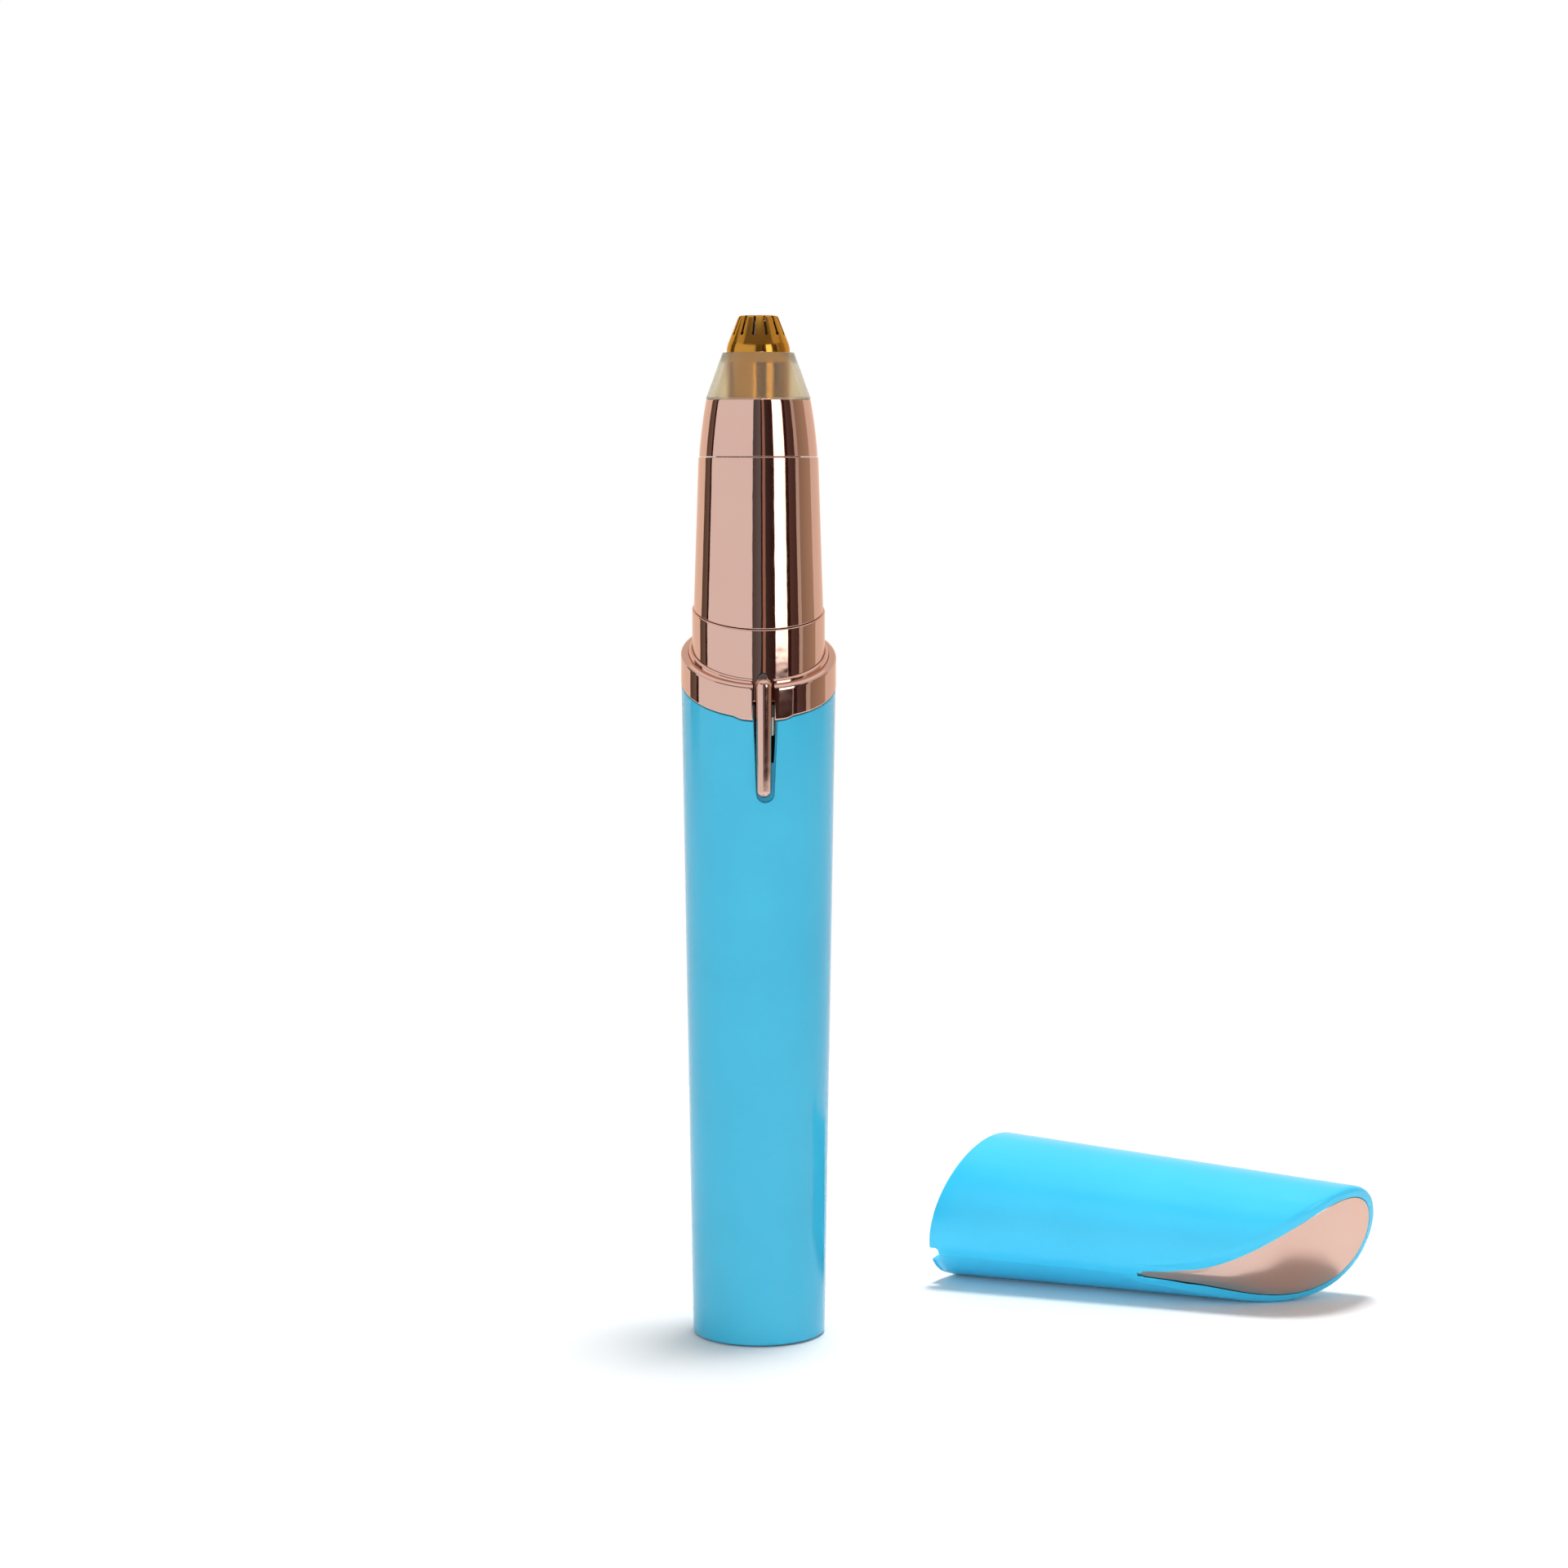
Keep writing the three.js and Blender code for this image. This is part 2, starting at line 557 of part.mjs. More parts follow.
// Frame: a round stick with a battery bay and an electronics bay open to the front, and a flange on top.
function chassisFrame() {
  const beyond = FRAME_R * 2;
  const bossHeight = electronicsFoot + BOSS_HEIGHT;
  const halfStem = STEM_WIDTH / 2 + GAP;
  const stripHalf = STRIP_WIDTH / 2 + FIT;
  const stripBed = FRAME_R - CONTACT_THICK - FIT;
  const bossBack = -(BAY_R + FIT);
  return disc(FRAME_R, frameFoot, frameTop, ROUND / 2)
    .add(disc(frameHeadR, electronicsTop, frameTop, ROUND / 2))
    .subtract(disc(cellBayR, bayFoot, bayTop, ROUND / 2))
    .subtract(block([-beyond, -beyond, bayFoot], [beyond, -BAY_MOUTH, bayTop]))
    .subtract(disc(BAY_R, electronicsFoot, electronicsTop, ROUND / 2))
    .subtract(block([-beyond, -beyond, electronicsFoot], [beyond, -COVER_BACK + GAP, electronicsTop]))
    .subtract(disc(FRAME_HEAD_BORE, electronicsTop - GAP, frameTop + GAP))
    .subtract(block([-halfStem, -beyond, electronicsTop - GAP], [halfStem, 0, frameTop + GAP]))
    .subtract(block([-stripHalf, stripBed, bayFoot], [stripHalf, beyond, bayFoot + STRIP_LENGTH + FIT * 2]))
    .add(frontPin(BOSS_R, bossBack, 0, bossHeight))
    .subtract(frontPin(SCREW_R + FIT, -SCREW_LENGTH / 2, beyond, bossHeight));
}

// Cover: a half shell over the electronics bay with a window for the stem.
function bayCover() {
  const foot = electronicsFoot + GAP;
  const top = electronicsTop - GAP;
  const bossHeight = electronicsFoot + BOSS_HEIGHT;
  const beyond = FRAME_R * 2;
  const halfWindow = SWITCH_WIDTH / 2 + GAP;
  return tube(BAY_R, FRAME_R, foot, top, ROUND / 2)
    .subtract(block([-beyond, -COVER_BACK, foot - GAP], [beyond, beyond, top + GAP]))
    .subtract(block([-halfWindow, -beyond, slotFoot], [halfWindow, 0, top + GAP]))
    .add(frontPin(BOSS_R, GAP, FRAME_R - FIT, bossHeight))
    .subtract(frontPin(SCREW_R + FIT, 0, beyond, bossHeight));
}

function coverScrew() {
  const height = electronicsFoot + BOSS_HEIGHT;
  const seat = FRAME_R + FIT;
  return frontPin(SCREW_HEAD_R, seat, seat + SCREW_HEAD, height)
    .add(frontPin(SCREW_R, seat - SCREW_LENGTH, seat, height));
}

// The AAA cell, with its positive end up.
function batteryCell() {
  const shoulder = cellTop - CELL_NUB;
  return turned([
    [0, cellFoot], [CELL_R, cellFoot], [CELL_R, shoulder], [CELL_NUB_R, shoulder],
    [CELL_NUB_R, cellTop], [0, cellTop],
  ], ROUND / 2);
}

function negativeSpring() {
  return coilSpring(SPRING_R, SPRING_WIRE, bayFoot + FIT, cellFoot - FIT, SPRING_TURNS);
}

function contactStrip() {
  const half = STRIP_WIDTH / 2;
  const foot = bayFoot + FIT;
  return block([-half, FRAME_R - CONTACT_THICK, foot], [half, FRAME_R, foot + STRIP_LENGTH]);
}

function circuitBoard() {
  const half = BAY_R - GAP;
  return block([-half, boardFront, electronicsFoot + BOARD_FOOT], [half, boardBack, boardTop]);
}

// The slide switch: a box with a channel that its lever runs in.
function switchBody() {
  const half = SWITCH_WIDTH / 2;
  const top = boardTop - FIT;
  const halfLever = STEM_WIDTH / 2 + FIT;
  const channelFoot = stemFoot - FIT;
  const channelBack = switchFront + LEVER_DEPTH;
  return block([-half, switchFront, top - SWITCH_HEIGHT], [half, switchBack, top])
    .subtract(block([-halfLever, switchFront - GAP, channelFoot], [halfLever, channelBack, top + GAP]));
}

function switchLever() {
  const half = STEM_WIDTH / 2;
  const back = switchFront + LEVER_DEPTH - FIT;
  return block([-half, switchFront, stemFoot], [half, back, stemFoot + STEM_HEIGHT]);
}

function switchStem() {
  const half = STEM_WIDTH / 2;
  return block([-half, -clipBack + FIT, stemFoot], [half, switchFront - FIT, stemFoot + STEM_HEIGHT]);
}

// The clip: a tapered rod, flat behind and half round in front, with round ends.
function switchClip() {
  const top = clipFoot + CLIP_LENGTH;
  const radius = CLIP_TOP_WIDTH / 2;
  const roundSteps = 10;
  const outline = wedge(clipFoot, top, CLIP_FOOT_WIDTH, CLIP_TOP_WIDTH, true);
  const face = arc(0, -clipFront + radius, radius, 180, 360, roundSteps);
  const section = [...face, [radius, -clipBack], [-radius, -clipBack]];
  return frontPlate(outline, clipBack, clipFront + GAP)
    .intersect(floorPlate(section, clipFoot - GAP, top + GAP));
}

// A motor lead, from the board up through the flange to the motor's terminal.
function motorLead(side) {
  const outward = boardFront - LEAD_R - FIT;
  const points = [
    [LEAD_FOOT_SPREAD, outward, boardTop - LEAD_FOOT_DROP],
    [LEAD_FOOT_SPREAD, outward, boardTop],
    [LEAD_SPREAD, -LEAD_R, electronicsTop + LEAD_R * 2],
    [LEAD_SPREAD, 0, frameTop - TERMINAL_HEIGHT - FIT],
  ].map(([x, y, z]) => new THREE.Vector3(side * x, y, z));
  return wire(new THREE.CatmullRomCurve3(points), LEAD_R, 8, 6);
}

function motorTerminal(side) {
  const x = side * LEAD_SPREAD;
  const [halfThick, halfWidth] = [TERMINAL_THICK / 2, TERMINAL_WIDTH / 2];
  return block([x - halfThick, -halfWidth, frameTop - TERMINAL_HEIGHT], [x + halfThick, halfWidth, frameTop]);
}

function motorEndCap() {
  return tube(SHAFT_R + GAP, MOTOR_R, motorFoot, motorFoot + MOTOR_END, ROUND / 2);
}

function motorCan() {
  const bore = BEARING_R + FIT;
  const lid = canTop - MOTOR_WALL;
  return turned([
    [canBore, canFoot], [MOTOR_R, canFoot], [MOTOR_R, canTop], [bore, canTop], [bore, lid], [canBore, lid],
  ], ROUND / 2);
}

function motorBearing() {
  return tube(SHAFT_R + FIT, BEARING_R, canTop - BEARING_HEIGHT / 2, canTop + BEARING_HEIGHT / 2);
}

function motorMagnet(middle) {
  const foot = coreFoot - (MAGNET_LENGTH - CORE_LENGTH) / 2;
  return sector(magnetInner, magnetOuter, middle, MAGNET_SPAN, foot, foot + MAGNET_LENGTH, 8);
}

function motorDamper(foot, outer) {
  return tube(MOTOR_R + FIT, outer, foot, foot + DAMPER_HEIGHT, ROUND / 2);
}

const POLES = [0, 120, 240];

// A three-pole core: a hub with arms and curved shoes.
function armatureCore() {
  let core = disc(CORE_HUB_R, coreFoot, coreTop);
  for (const angle of POLES) {
    const arm = new THREE.BoxGeometry(poleInner + POLE_SHOE / 2, POLE_ARM, CORE_LENGTH)
      .translate((poleInner + POLE_SHOE / 2) / 2, 0, (coreFoot + coreTop) / 2)
      .rotateZ(angle * DEGREES);
    core = core.add(solid(arm)).add(sector(poleInner, poleOuter, angle, POLE_SPAN, coreFoot, coreTop, 6));
  }
  return core.subtract(disc(SHAFT_R + FIT, coreFoot - GAP, coreTop + GAP));
}

function armatureCoil(angle) {
  const inner = CORE_HUB_R + GAP;
  return sector(inner, poleInner - GAP, angle, COIL_SPAN, coreFoot + GAP, coreTop - GAP, 5);
}

function commutator() {
  const foot = canFoot + FIT;
  return tube(SHAFT_R + FIT, COMMUTATOR_R, foot, foot + COMMUTATOR_HEIGHT);
}

function motorShaft() {
  return disc(SHAFT_R, motorFoot + GAP, shaftTop);
}

// Coupling: pressed on the shaft, with a slot across its top for the spindle's tongue.
function driveCoupling() {
  const halfSlot = TONGUE_THICK / 2 + GAP;
  const slotFootZ = couplingTop - COUPLING_SOCKET;
  return disc(COUPLING_R, couplingFoot, couplingTop)
    .subtract(disc(SHAFT_R + FIT, couplingFoot - GAP, shaftTop + FIT))
    .subtract(block([-halfSlot, -COUPLING_R * 2, slotFootZ], [halfSlot, COUPLING_R * 2, couplingTop + GAP]));
}

// Outline of the head's ring, a low ogive, at a share of its height.
const headRadius = (share) => HEAD_FOOT_R + (HEAD_TOP_R - HEAD_FOOT_R) * share
  + 4 * HEAD_BULGE * share * (1 - share);

function headRing() {
  const steps = [0, 0.25, 0.5, 0.75, 1];
  const lipShare = 1 - HEAD_LIP / HEAD_HEIGHT;
  const outside = steps.map((share) => [headRadius(share), headFoot + HEAD_HEIGHT * share]);
  const inside = [lipShare, 0].map(
    (share) => [headRadius(share) - HEAD_WALL, headFoot + HEAD_HEIGHT * share]);
  const lipBore = foilFlangeR - GAP;
  return turned([...outside, [lipBore, headTop], [lipBore, headLipFoot], ...inside], ROUND);
}

// Frame of the head: a plug in the sleeve's mouth, a web with the bush, and a seat under the foil.
function headFrame() {
  const seatR = HEAD_TOP_R - HEAD_WALL - GAP;
  const bushBore = bushR + FIT;
  const inner = plugR - PLUG_WALL;
  const seatInner = seatR - PLUG_WALL;
  const step = headFoot - SEAM;
  return turned([
    [bushBore, webFoot], [inner, webFoot], [inner, plugFoot], [plugR, plugFoot], [plugR, step],
    [seatR, step], [seatR, plugTop], [seatInner, plugTop], [seatInner, webTop], [bushBore, webTop],
  ], ROUND / 2);
}

function spindleBush() {
  return tube(SPINDLE_R + FIT, bushR, webFoot - FIT, webTop + FIT);
}

function guardCone() {
  const bore = FOIL_SKIRT_R + GAP;
  return turned([
    [GUARD_FOOT_R - GUARD_WALL, guardFoot], [GUARD_FOOT_R, guardFoot], [GUARD_TOP_R, guardTop],
    [bore, guardTop], [bore, guardTop - GUARD_LAND],
  ], ROUND);
}

// Half section of the foil from the skirt up, drawn in by an offset.
function foilSection(offset) {
  return [
    [FOIL_SKIRT_R - offset, foilSkirtTop - offset / 2],
    [FOIL_SKIRT_R - FOIL_SHOULDER / 2 - offset, foilConeFoot + FOIL_SHOULDER - offset / 2],
    [FOIL_CONE_R - offset, foilConeTop - offset / 2],
    [FOIL_EDGE_R - offset, foilConeTop + FOIL_EDGE_RISE - offset],
    [FOIL_TOP_R - offset, foilTop - offset],
    [0, foilTop - offset],
  ];
}

function foilCap() {
  const outside = foilSection(0);
  const inside = foilSection(FOIL_WALL).reverse();
  const innerR = FOIL_SKIRT_R - FOIL_WALL;
  let cap = turned([
    [innerR, flangeFoot], [foilFlangeR, flangeFoot], [foilFlangeR, flangeTop], [FOIL_SKIRT_R, flangeTop],
    ...outside, ...inside,
  ], FOIL_SLOTS * 3);
  for (let i = 0; i < FOIL_SLOTS; i += 1) {
    const reach = FOIL_SKIRT_R * 2;
    const slot = new THREE.BoxGeometry(FOIL_SLOT_WIDTH, reach, FOIL_SLOT_DEPTH + GAP)
      .translate(0, -FOIL_SLOT_INNER_R - reach / 2, foilTop - (FOIL_SLOT_DEPTH - GAP) / 2)
      .rotateZ(2 * Math.PI * (i + 0.5) / FOIL_SLOTS);
    cap = cap.subtract(solid(slot));
  }
  return cap;
}

// Cutter: a steel thimble under the foil, notched into teeth.
function cutterHead() {
  const section = foilSection(FOIL_WALL + CUTTER_GAP);
  const footR = section[0][0];
  let head = turned([[0, cutterFoot], [footR, cutterFoot], ...section], INNER_ROUND + 4);
  const notchFoot = cutterFoot + CUTTER_NOTCH_FOOT;
  const reach = FOIL_SKIRT_R;
  for (let i = 0; i < CUTTER_TEETH; i += 1) {
    const notch = new THREE.BoxGeometry(CUTTER_NOTCH, reach, CUTTER_HEIGHT)
      .translate(0, -CUTTER_CORE_R - reach / 2, notchFoot + CUTTER_HEIGHT / 2)
      .rotateZ(2 * Math.PI * i / CUTTER_TEETH);
    head = head.subtract(solid(notch));
  }
  return head.subtract(disc(SPINDLE_R + FIT, cutterFoot - GAP, spindleTop + FIT));
}

// Spindle: a pin with a flat tongue at its foot.
function cutterSpindle() {
  const tongueTop = couplingTop + GAP;
  const halfTongue = TONGUE_THICK / 2;
  const halfWidth = COUPLING_R - GAP;
  return disc(SPINDLE_R, tongueTop - GAP, spindleTop)
    .add(block([-halfTongue, -halfWidth, spindleFoot], [halfTongue, halfWidth, tongueTop]));
}

function cutterSpring() {
  const [foot, top] = [webTop + GAP, cutterFoot - FIT];
  return coilSpring(CUTTER_SPRING_R, CUTTER_SPRING_WIRE, foot, top, CUTTER_SPRING_TURNS);
}

// Radius of the cap's outside at a distance from the front of its rim.
const capRadius = (z) => CAP_RIM_R - z * slope(CAP_TAPER);

// The cap's cone, drawn in by an offset, from below its mouth to beyond its end.
function capCone(offset, foot, top) {
  const side = [foot, top].map((z) => [capRadius(z) - offset, z]);
  return turned([[0, foot], ...side, [0, top]], ROUND);
}

// Side curve of the cap's slanted end: it leaves the front line steeply and turns over to the back.
function slantCurve() {
  const side = capRadius(SLANT_TAIL);
  const end = CAP_LENGTH - SLANT_END_DROP;
  const curve = new THREE.CubicBezierCurve(
    new THREE.Vector2(SLANT_TAIL_DEPTH - side, SLANT_TAIL),
    new THREE.Vector2(SLANT_STEEP_DEPTH - side, SLANT_TAIL + SLANT_STEEP),
    new THREE.Vector2(SLANT_TURN_DEPTH - side, end - SLANT_TURN),
    new THREE.Vector2(capRadius(end) - INLAY_INSET, end),
  );
  return curve.getPoints(SLANT_STEPS);
}

// Everything in front of and above the slant, sunk below it by a depth.
function aboveSlant(depth) {
  const line = slantCurve();
  const first = line[0];
  const last = line[line.length - 1];
  const rise = last.clone().sub(line[line.length - 2]).normalize();
  const lead = new THREE.Vector2(first.x - CAP_WALL * 2, first.y - CAP_WALL * 3);
  const path = [lead, ...line, last.clone().addScaledVector(rise, CAP_RIM_R)];
  const sunk = path.map((point, i) => {
    const before = path[Math.max(i - 1, 0)];
    const after = path[Math.min(i + 1, path.length - 1)];
    const along = after.clone().sub(before).normalize();
    return new THREE.Vector2(point.x + along.y * depth, point.y - along.x * depth);
  });
  const far = CAP_RIM_R * 4;
  const end = sunk[sunk.length - 1];
  const outline = new THREE.Shape([
    ...sunk,
    new THREE.Vector2(end.x, CAP_LENGTH + far),
    new THREE.Vector2(-far, CAP_LENGTH + far),
    new THREE.Vector2(-far, sunk[0].y),
  ]);
  const geometry = new THREE.ExtrudeGeometry(outline, { depth: far, bevelEnabled: false });
  geometry.translate(0, 0, -far / 2);
  geometry.applyMatrix4(new THREE.Matrix4().makeBasis(
    new THREE.Vector3(0, 1, 0), new THREE.Vector3(0, 0, 1), new THREE.Vector3(1, 0, 0)));
  return solid(geometry);
}

// Everything below the cap's slanted mouth, which is shaped as the collar's shoulder.
function belowMouth() {
  const far = CAP_RIM_R * 4;
  const geometry = new THREE.BoxGeometry(far, far, far).translate(0, 0, -far / 2);
  return solid(geometry.rotateX(COLLAR_TILT * DEGREES).translate(0, 0, CAP_RIM_R * slope(COLLAR_TILT)));
}

// The inlay's plan, drawn in by an offset: the border round it widens from its tail.
function inlayPlan(offset) {
  const end = CAP_LENGTH + CAP_RIM_R;
  const side = [
    [SLANT_TAIL, INLAY_TAIL_INSET],
    [SLANT_TAIL + INLAY_NECK, INLAY_NECK_INSET],
    [SLANT_TAIL + INLAY_FLARE, INLAY_FLARE_INSET],
    [SLANT_TAIL + INLAY_FULL, INLAY_INSET],
    [end, INLAY_INSET],
  ].map(([z, inset]) => [capRadius(z) - inset - offset, z]);
  return turned([[0, SLANT_TAIL], ...side, [0, end]], ROUND);
}

function capShell() {
  const below = -CAP_RIM_R;
  const beyond = CAP_LENGTH + CAP_RIM_R;
  const halfNotch = NOTCH_WIDTH / 2;
  const halfGap = TAIL_GAP / 2;
  const tailBed = capRadius(SLANT_TAIL) - INLAY_THICK;
  const [gapFoot, gapTop] = [SLANT_TAIL - TAIL_GAP, SLANT_TAIL + TAIL_GAP];
  const hollow = capCone(CAP_WALL, below - GAP, beyond).subtract(aboveSlant(INLAY_THICK + CAP_END_WALL));
  return capCone(0, below, beyond)
    .subtract(aboveSlant(0))
    .subtract(inlayPlan(0).intersect(aboveSlant(INLAY_THICK + FIT)))
    .subtract(block([-halfGap, -CAP_RIM_R, gapFoot], [halfGap, -tailBed, gapTop]))
    .subtract(hollow)
    .subtract(belowMouth())
    .subtract(block([-halfNotch, -CAP_RIM_R * 2, below], [halfNotch, -CAP_RIM_R / 2, NOTCH_DEPTH]));
}

function capInlay() {
  return inlayPlan(FIT).intersect(aboveSlant(INLAY_THICK)).subtract(aboveSlant(0));
}

// The trimmer, front towards -Y.
const trimmer = new THREE.Group();
trimmer.rotation.z = TRIMMER_TURN * DEGREES;
trimmer.add(
  piece('barrel_shell', barrelShell(), barrelBlue),
  piece('base_pad', disc(BASE_PAD_R, 0, BASE_PAD_THICK, ROUND), rubber),
  piece('collar_ring', collarRing(), roseGold),
  piece('neck_ring', neckRing(), roseGold),
  piece('upper_sleeve', upperSleeve(), roseGold),
  piece('light_lens', lightLens(), clear),
  piece('light_emitter', lightEmitter(), whitePlastic),
  piece('chassis_frame', chassisFrame(), greyPlastic),
  piece('bay_cover', bayCover(), greyPlastic),
  piece('cover_screw', coverScrew(), steel),
  piece('battery_cell', batteryCell(), cellGreen),
  piece('negative_spring', negativeSpring(), nickel),
  piece('positive_contact', disc(CONTACT_R, contactFoot, contactFoot + CONTACT_THICK), nickel),
  piece('contact_strip', contactStrip(), nickel),
  piece('circuit_board', circuitBoard(), boardGreen),
  piece('switch_body', switchBody(), blackPlastic),
  piece('switch_lever', switchLever(), whitePlastic),
  piece('switch_stem', switchStem(), blackPlastic),
  piece('switch_clip', switchClip(), roseGold),
  piece('lead_red', motorLead(1), redPlastic),
  piece('lead_black', motorLead(-1), blackPlastic),
  piece('motor_terminal_left', motorTerminal(-1), nickel),
  piece('motor_terminal_right', motorTerminal(1), nickel),
  piece('motor_end_cap', motorEndCap(), whitePlastic),
  piece('motor_can', motorCan(), nickel),
  piece('motor_bearing', motorBearing(), copper),
  piece('motor_magnet_left', motorMagnet(180), ferrite),
  piece('motor_magnet_right', motorMagnet(0), ferrite),
  piece('motor_damper_lower', motorDamper(motorFoot + LOWER_DAMPER_RISE, neckBore - GAP), rubber),
  piece('motor_damper_upper', motorDamper(canTop - UPPER_DAMPER_DROP, sleeveInner(canTop) - GAP), rubber),
  piece('motor_shaft', motorShaft(), steel),
  piece('armature_core', armatureCore(), steel),
  ...POLES.map((angle, i) => piece(`armature_coil_${i + 1}`, armatureCoil(angle + 60), copper)),
  piece('commutator', commutator(), copper),
  piece('drive_coupling', driveCoupling(), whitePlastic),
  piece('head_ring', headRing(), roseGold),
  piece('head_frame', headFrame(), whitePlastic),
  piece('spindle_bush', spindleBush(), copper),
  piece('guard_cone', guardCone(), frosted),
  piece('foil_cap', foilCap(), gold),
  piece('cutter_head', cutterHead(), steel),
  piece('cutter_spindle', cutterSpindle(), steel),
  piece('cutter_spring', cutterSpring(), steel),
);

// The cap, lying on its side with its slanted end towards +X. Its own axis runs from its mouth to its end.
const cap = new THREE.Group();
const capAxis = new THREE.Vector3(Math.cos(CAP_TAPER * DEGREES), 0, -Math.sin(CAP_TAPER * DEGREES));
const level = new THREE.Vector3(0, Math.cos(CAP_ROLL * DEGREES), Math.sin(CAP_ROLL * DEGREES));
const capSide = new THREE.Vector3().crossVectors(level, capAxis).normalize();
const capBack = new THREE.Vector3().crossVectors(capAxis, capSide);
cap.quaternion.setFromRotationMatrix(new THREE.Matrix4().makeBasis(capSide, capBack, capAxis));
cap.position.set(CAP_X, CAP_Y, CAP_RIM_R * Math.cos(CAP_TAPER * DEGREES));
cap.add(
  piece('cap_shell', capShell(), capBlue),
  piece('cap_inlay', capInlay(), satinRose),
);

const eyebrowTrimmer = new THREE.Group();
eyebrowTrimmer.add(trimmer, cap);

export default eyebrowTrimmer;
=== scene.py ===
"""Looks of an electric eyebrow trimmer standing on its base, with its cap taken off and lying beside it.

Sizes are the object's own, in millimetres. Pieces are made in millimetres, the trimmer's with its front
towards -Y and the cap's along its own axis, and are then placed in the frame, which is in metres.
Angles round an axis are 0 at the front and grow to the right.
"""

import json
from math import asin, atan2, copysign, cos, degrees, dist, pi, radians, remainder, sin, sqrt, tan, tau

import bmesh
import bpy
import numpy as np
from mathutils import Matrix, Vector


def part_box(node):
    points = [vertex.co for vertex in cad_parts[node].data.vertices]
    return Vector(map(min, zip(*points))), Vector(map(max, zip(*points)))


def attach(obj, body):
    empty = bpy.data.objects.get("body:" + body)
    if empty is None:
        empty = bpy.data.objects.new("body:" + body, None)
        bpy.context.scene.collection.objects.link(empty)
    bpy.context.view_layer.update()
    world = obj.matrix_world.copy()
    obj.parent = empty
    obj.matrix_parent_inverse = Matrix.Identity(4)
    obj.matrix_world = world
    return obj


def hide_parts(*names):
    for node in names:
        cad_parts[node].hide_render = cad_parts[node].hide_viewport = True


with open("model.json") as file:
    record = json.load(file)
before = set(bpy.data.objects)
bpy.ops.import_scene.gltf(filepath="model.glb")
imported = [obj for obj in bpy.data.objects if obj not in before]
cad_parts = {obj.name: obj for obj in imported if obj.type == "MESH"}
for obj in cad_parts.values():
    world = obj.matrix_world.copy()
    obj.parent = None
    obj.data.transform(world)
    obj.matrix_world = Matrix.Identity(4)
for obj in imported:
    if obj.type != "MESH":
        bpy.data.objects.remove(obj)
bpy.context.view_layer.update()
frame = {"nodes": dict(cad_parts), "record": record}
record = frame["record"]
node_slots = {part["node"]: part["material_slot"] for part in record["subparts"]}
node_bodies = {node: body for body, nodes in record["behaviour"]["bodies"].items() for node in nodes}

MM = 0.001
ROUND = 160  # sides of the shells
SMALL_ROUND = 48  # sides of small round pieces
SHARP = 32  # degrees between faces that keep a sharp edge
ARC = 6  # steps of a rounded edge
LONG_ARC = 12  # steps of a larger rounding
MERGE = 1e-4  # distance within which points are one
BEYOND = 1.0  # how far a cutter reaches past what it cuts
EDGE = 0.2  # rounding of plain edges
FINE_EDGE = 0.06  # rounding of crisp ones
WIDE_EDGE = 0.4  # rounding of broad ones

# Clearances
GAP = 0.3
FIT = 0.15
SEAM = 0.2
HAIRLINE = 0.06  # visible width of the seams between shells

# Places of the trimmer and the cap
TRIMMER_TURN = 25.8
CAP_X = 12.4
CAP_Y = 38.0
CAP_ROLL = 35.7

# Barrel
BARREL_HEIGHT = 80.9
BARREL_BASE_R = 8.2
BARREL_RIM_R = 9.45
BARREL_WALL = 1.2
BARREL_FLOOR = 2.0
BASE_PAD_R = 7.3
BASE_PAD_THICK = 0.9
BASE_STAND = 0.15  # how far the base pad stands out below the barrel
RIM_TILT = 21.5
RIM_EDGE = 0.12
COLLAR_FOOT_EDGE = 0.22
TAB_DEPTH = 0.28  # how far the seam dips round the clip
TAB_SPAN = 24.0  # degrees from the front to where the dip begins
TAB_EDGE = 8.0  # degrees over which it dips

# Slot of the clip
SLOT_LENGTH = 13.7
OPENING_LENGTH = 9.0
SLOT_RIM_WIDTH = 2.9
SLOT_FOOT_WIDTH = 1.9
RECESS_FLOOR = 0.45
SLOT_ASIDE = 0.45  # extra room in the slot to the right of the clip
RECESS_SINK = 0.3  # extra depth of the slot behind the clip
FRAME_R = 6.5  # of the chassis frame behind the slot

# Clip
CLIP_LENGTH = 14.4
CLIP_FOOT_GAP = 0.6
CLIP_TOP_WIDTH = 2.0
CLIP_FOOT_WIDTH = 1.7
CLIP_RISE = 1.0
CLIP_END_RISE = 0.3  # share of the rod's height that is left at its ends
CLIP_ROUND_END = 87.0  # degrees of its round ends, up to a small flat
CLIP_STEPS = 10

# Slider behind the clip
SLIDER_LEFT = 0.9
SLIDER_RIGHT = 1.25
SLIDER_FACE = 8.45  # in front of the axis
SLIDER_FOOT = 75.2
SLIDER_LIP = 0.3
SLIDER_GROOVE = 0.2
SLIDER_HEIGHT = 2.2
SLIDER_THICK = 0.28

# Collar
COLLAR_R = 9.5
COLLAR_HEIGHT = 3.5
COLLAR_TILT = 21.5
GROOVE_R = 8.64  # of the fine groove outside the neck's lip
GROOVE_TILT = 20.5
GROOVE_RISE = 0.3  # above the collar's outer wall, on the axis
GROOVE_DEPTH = 0.07
LIP_TILT = 22.0
LIP_RISE = 0.9
LIP_GAP = 0.04  # between the lip and the neck

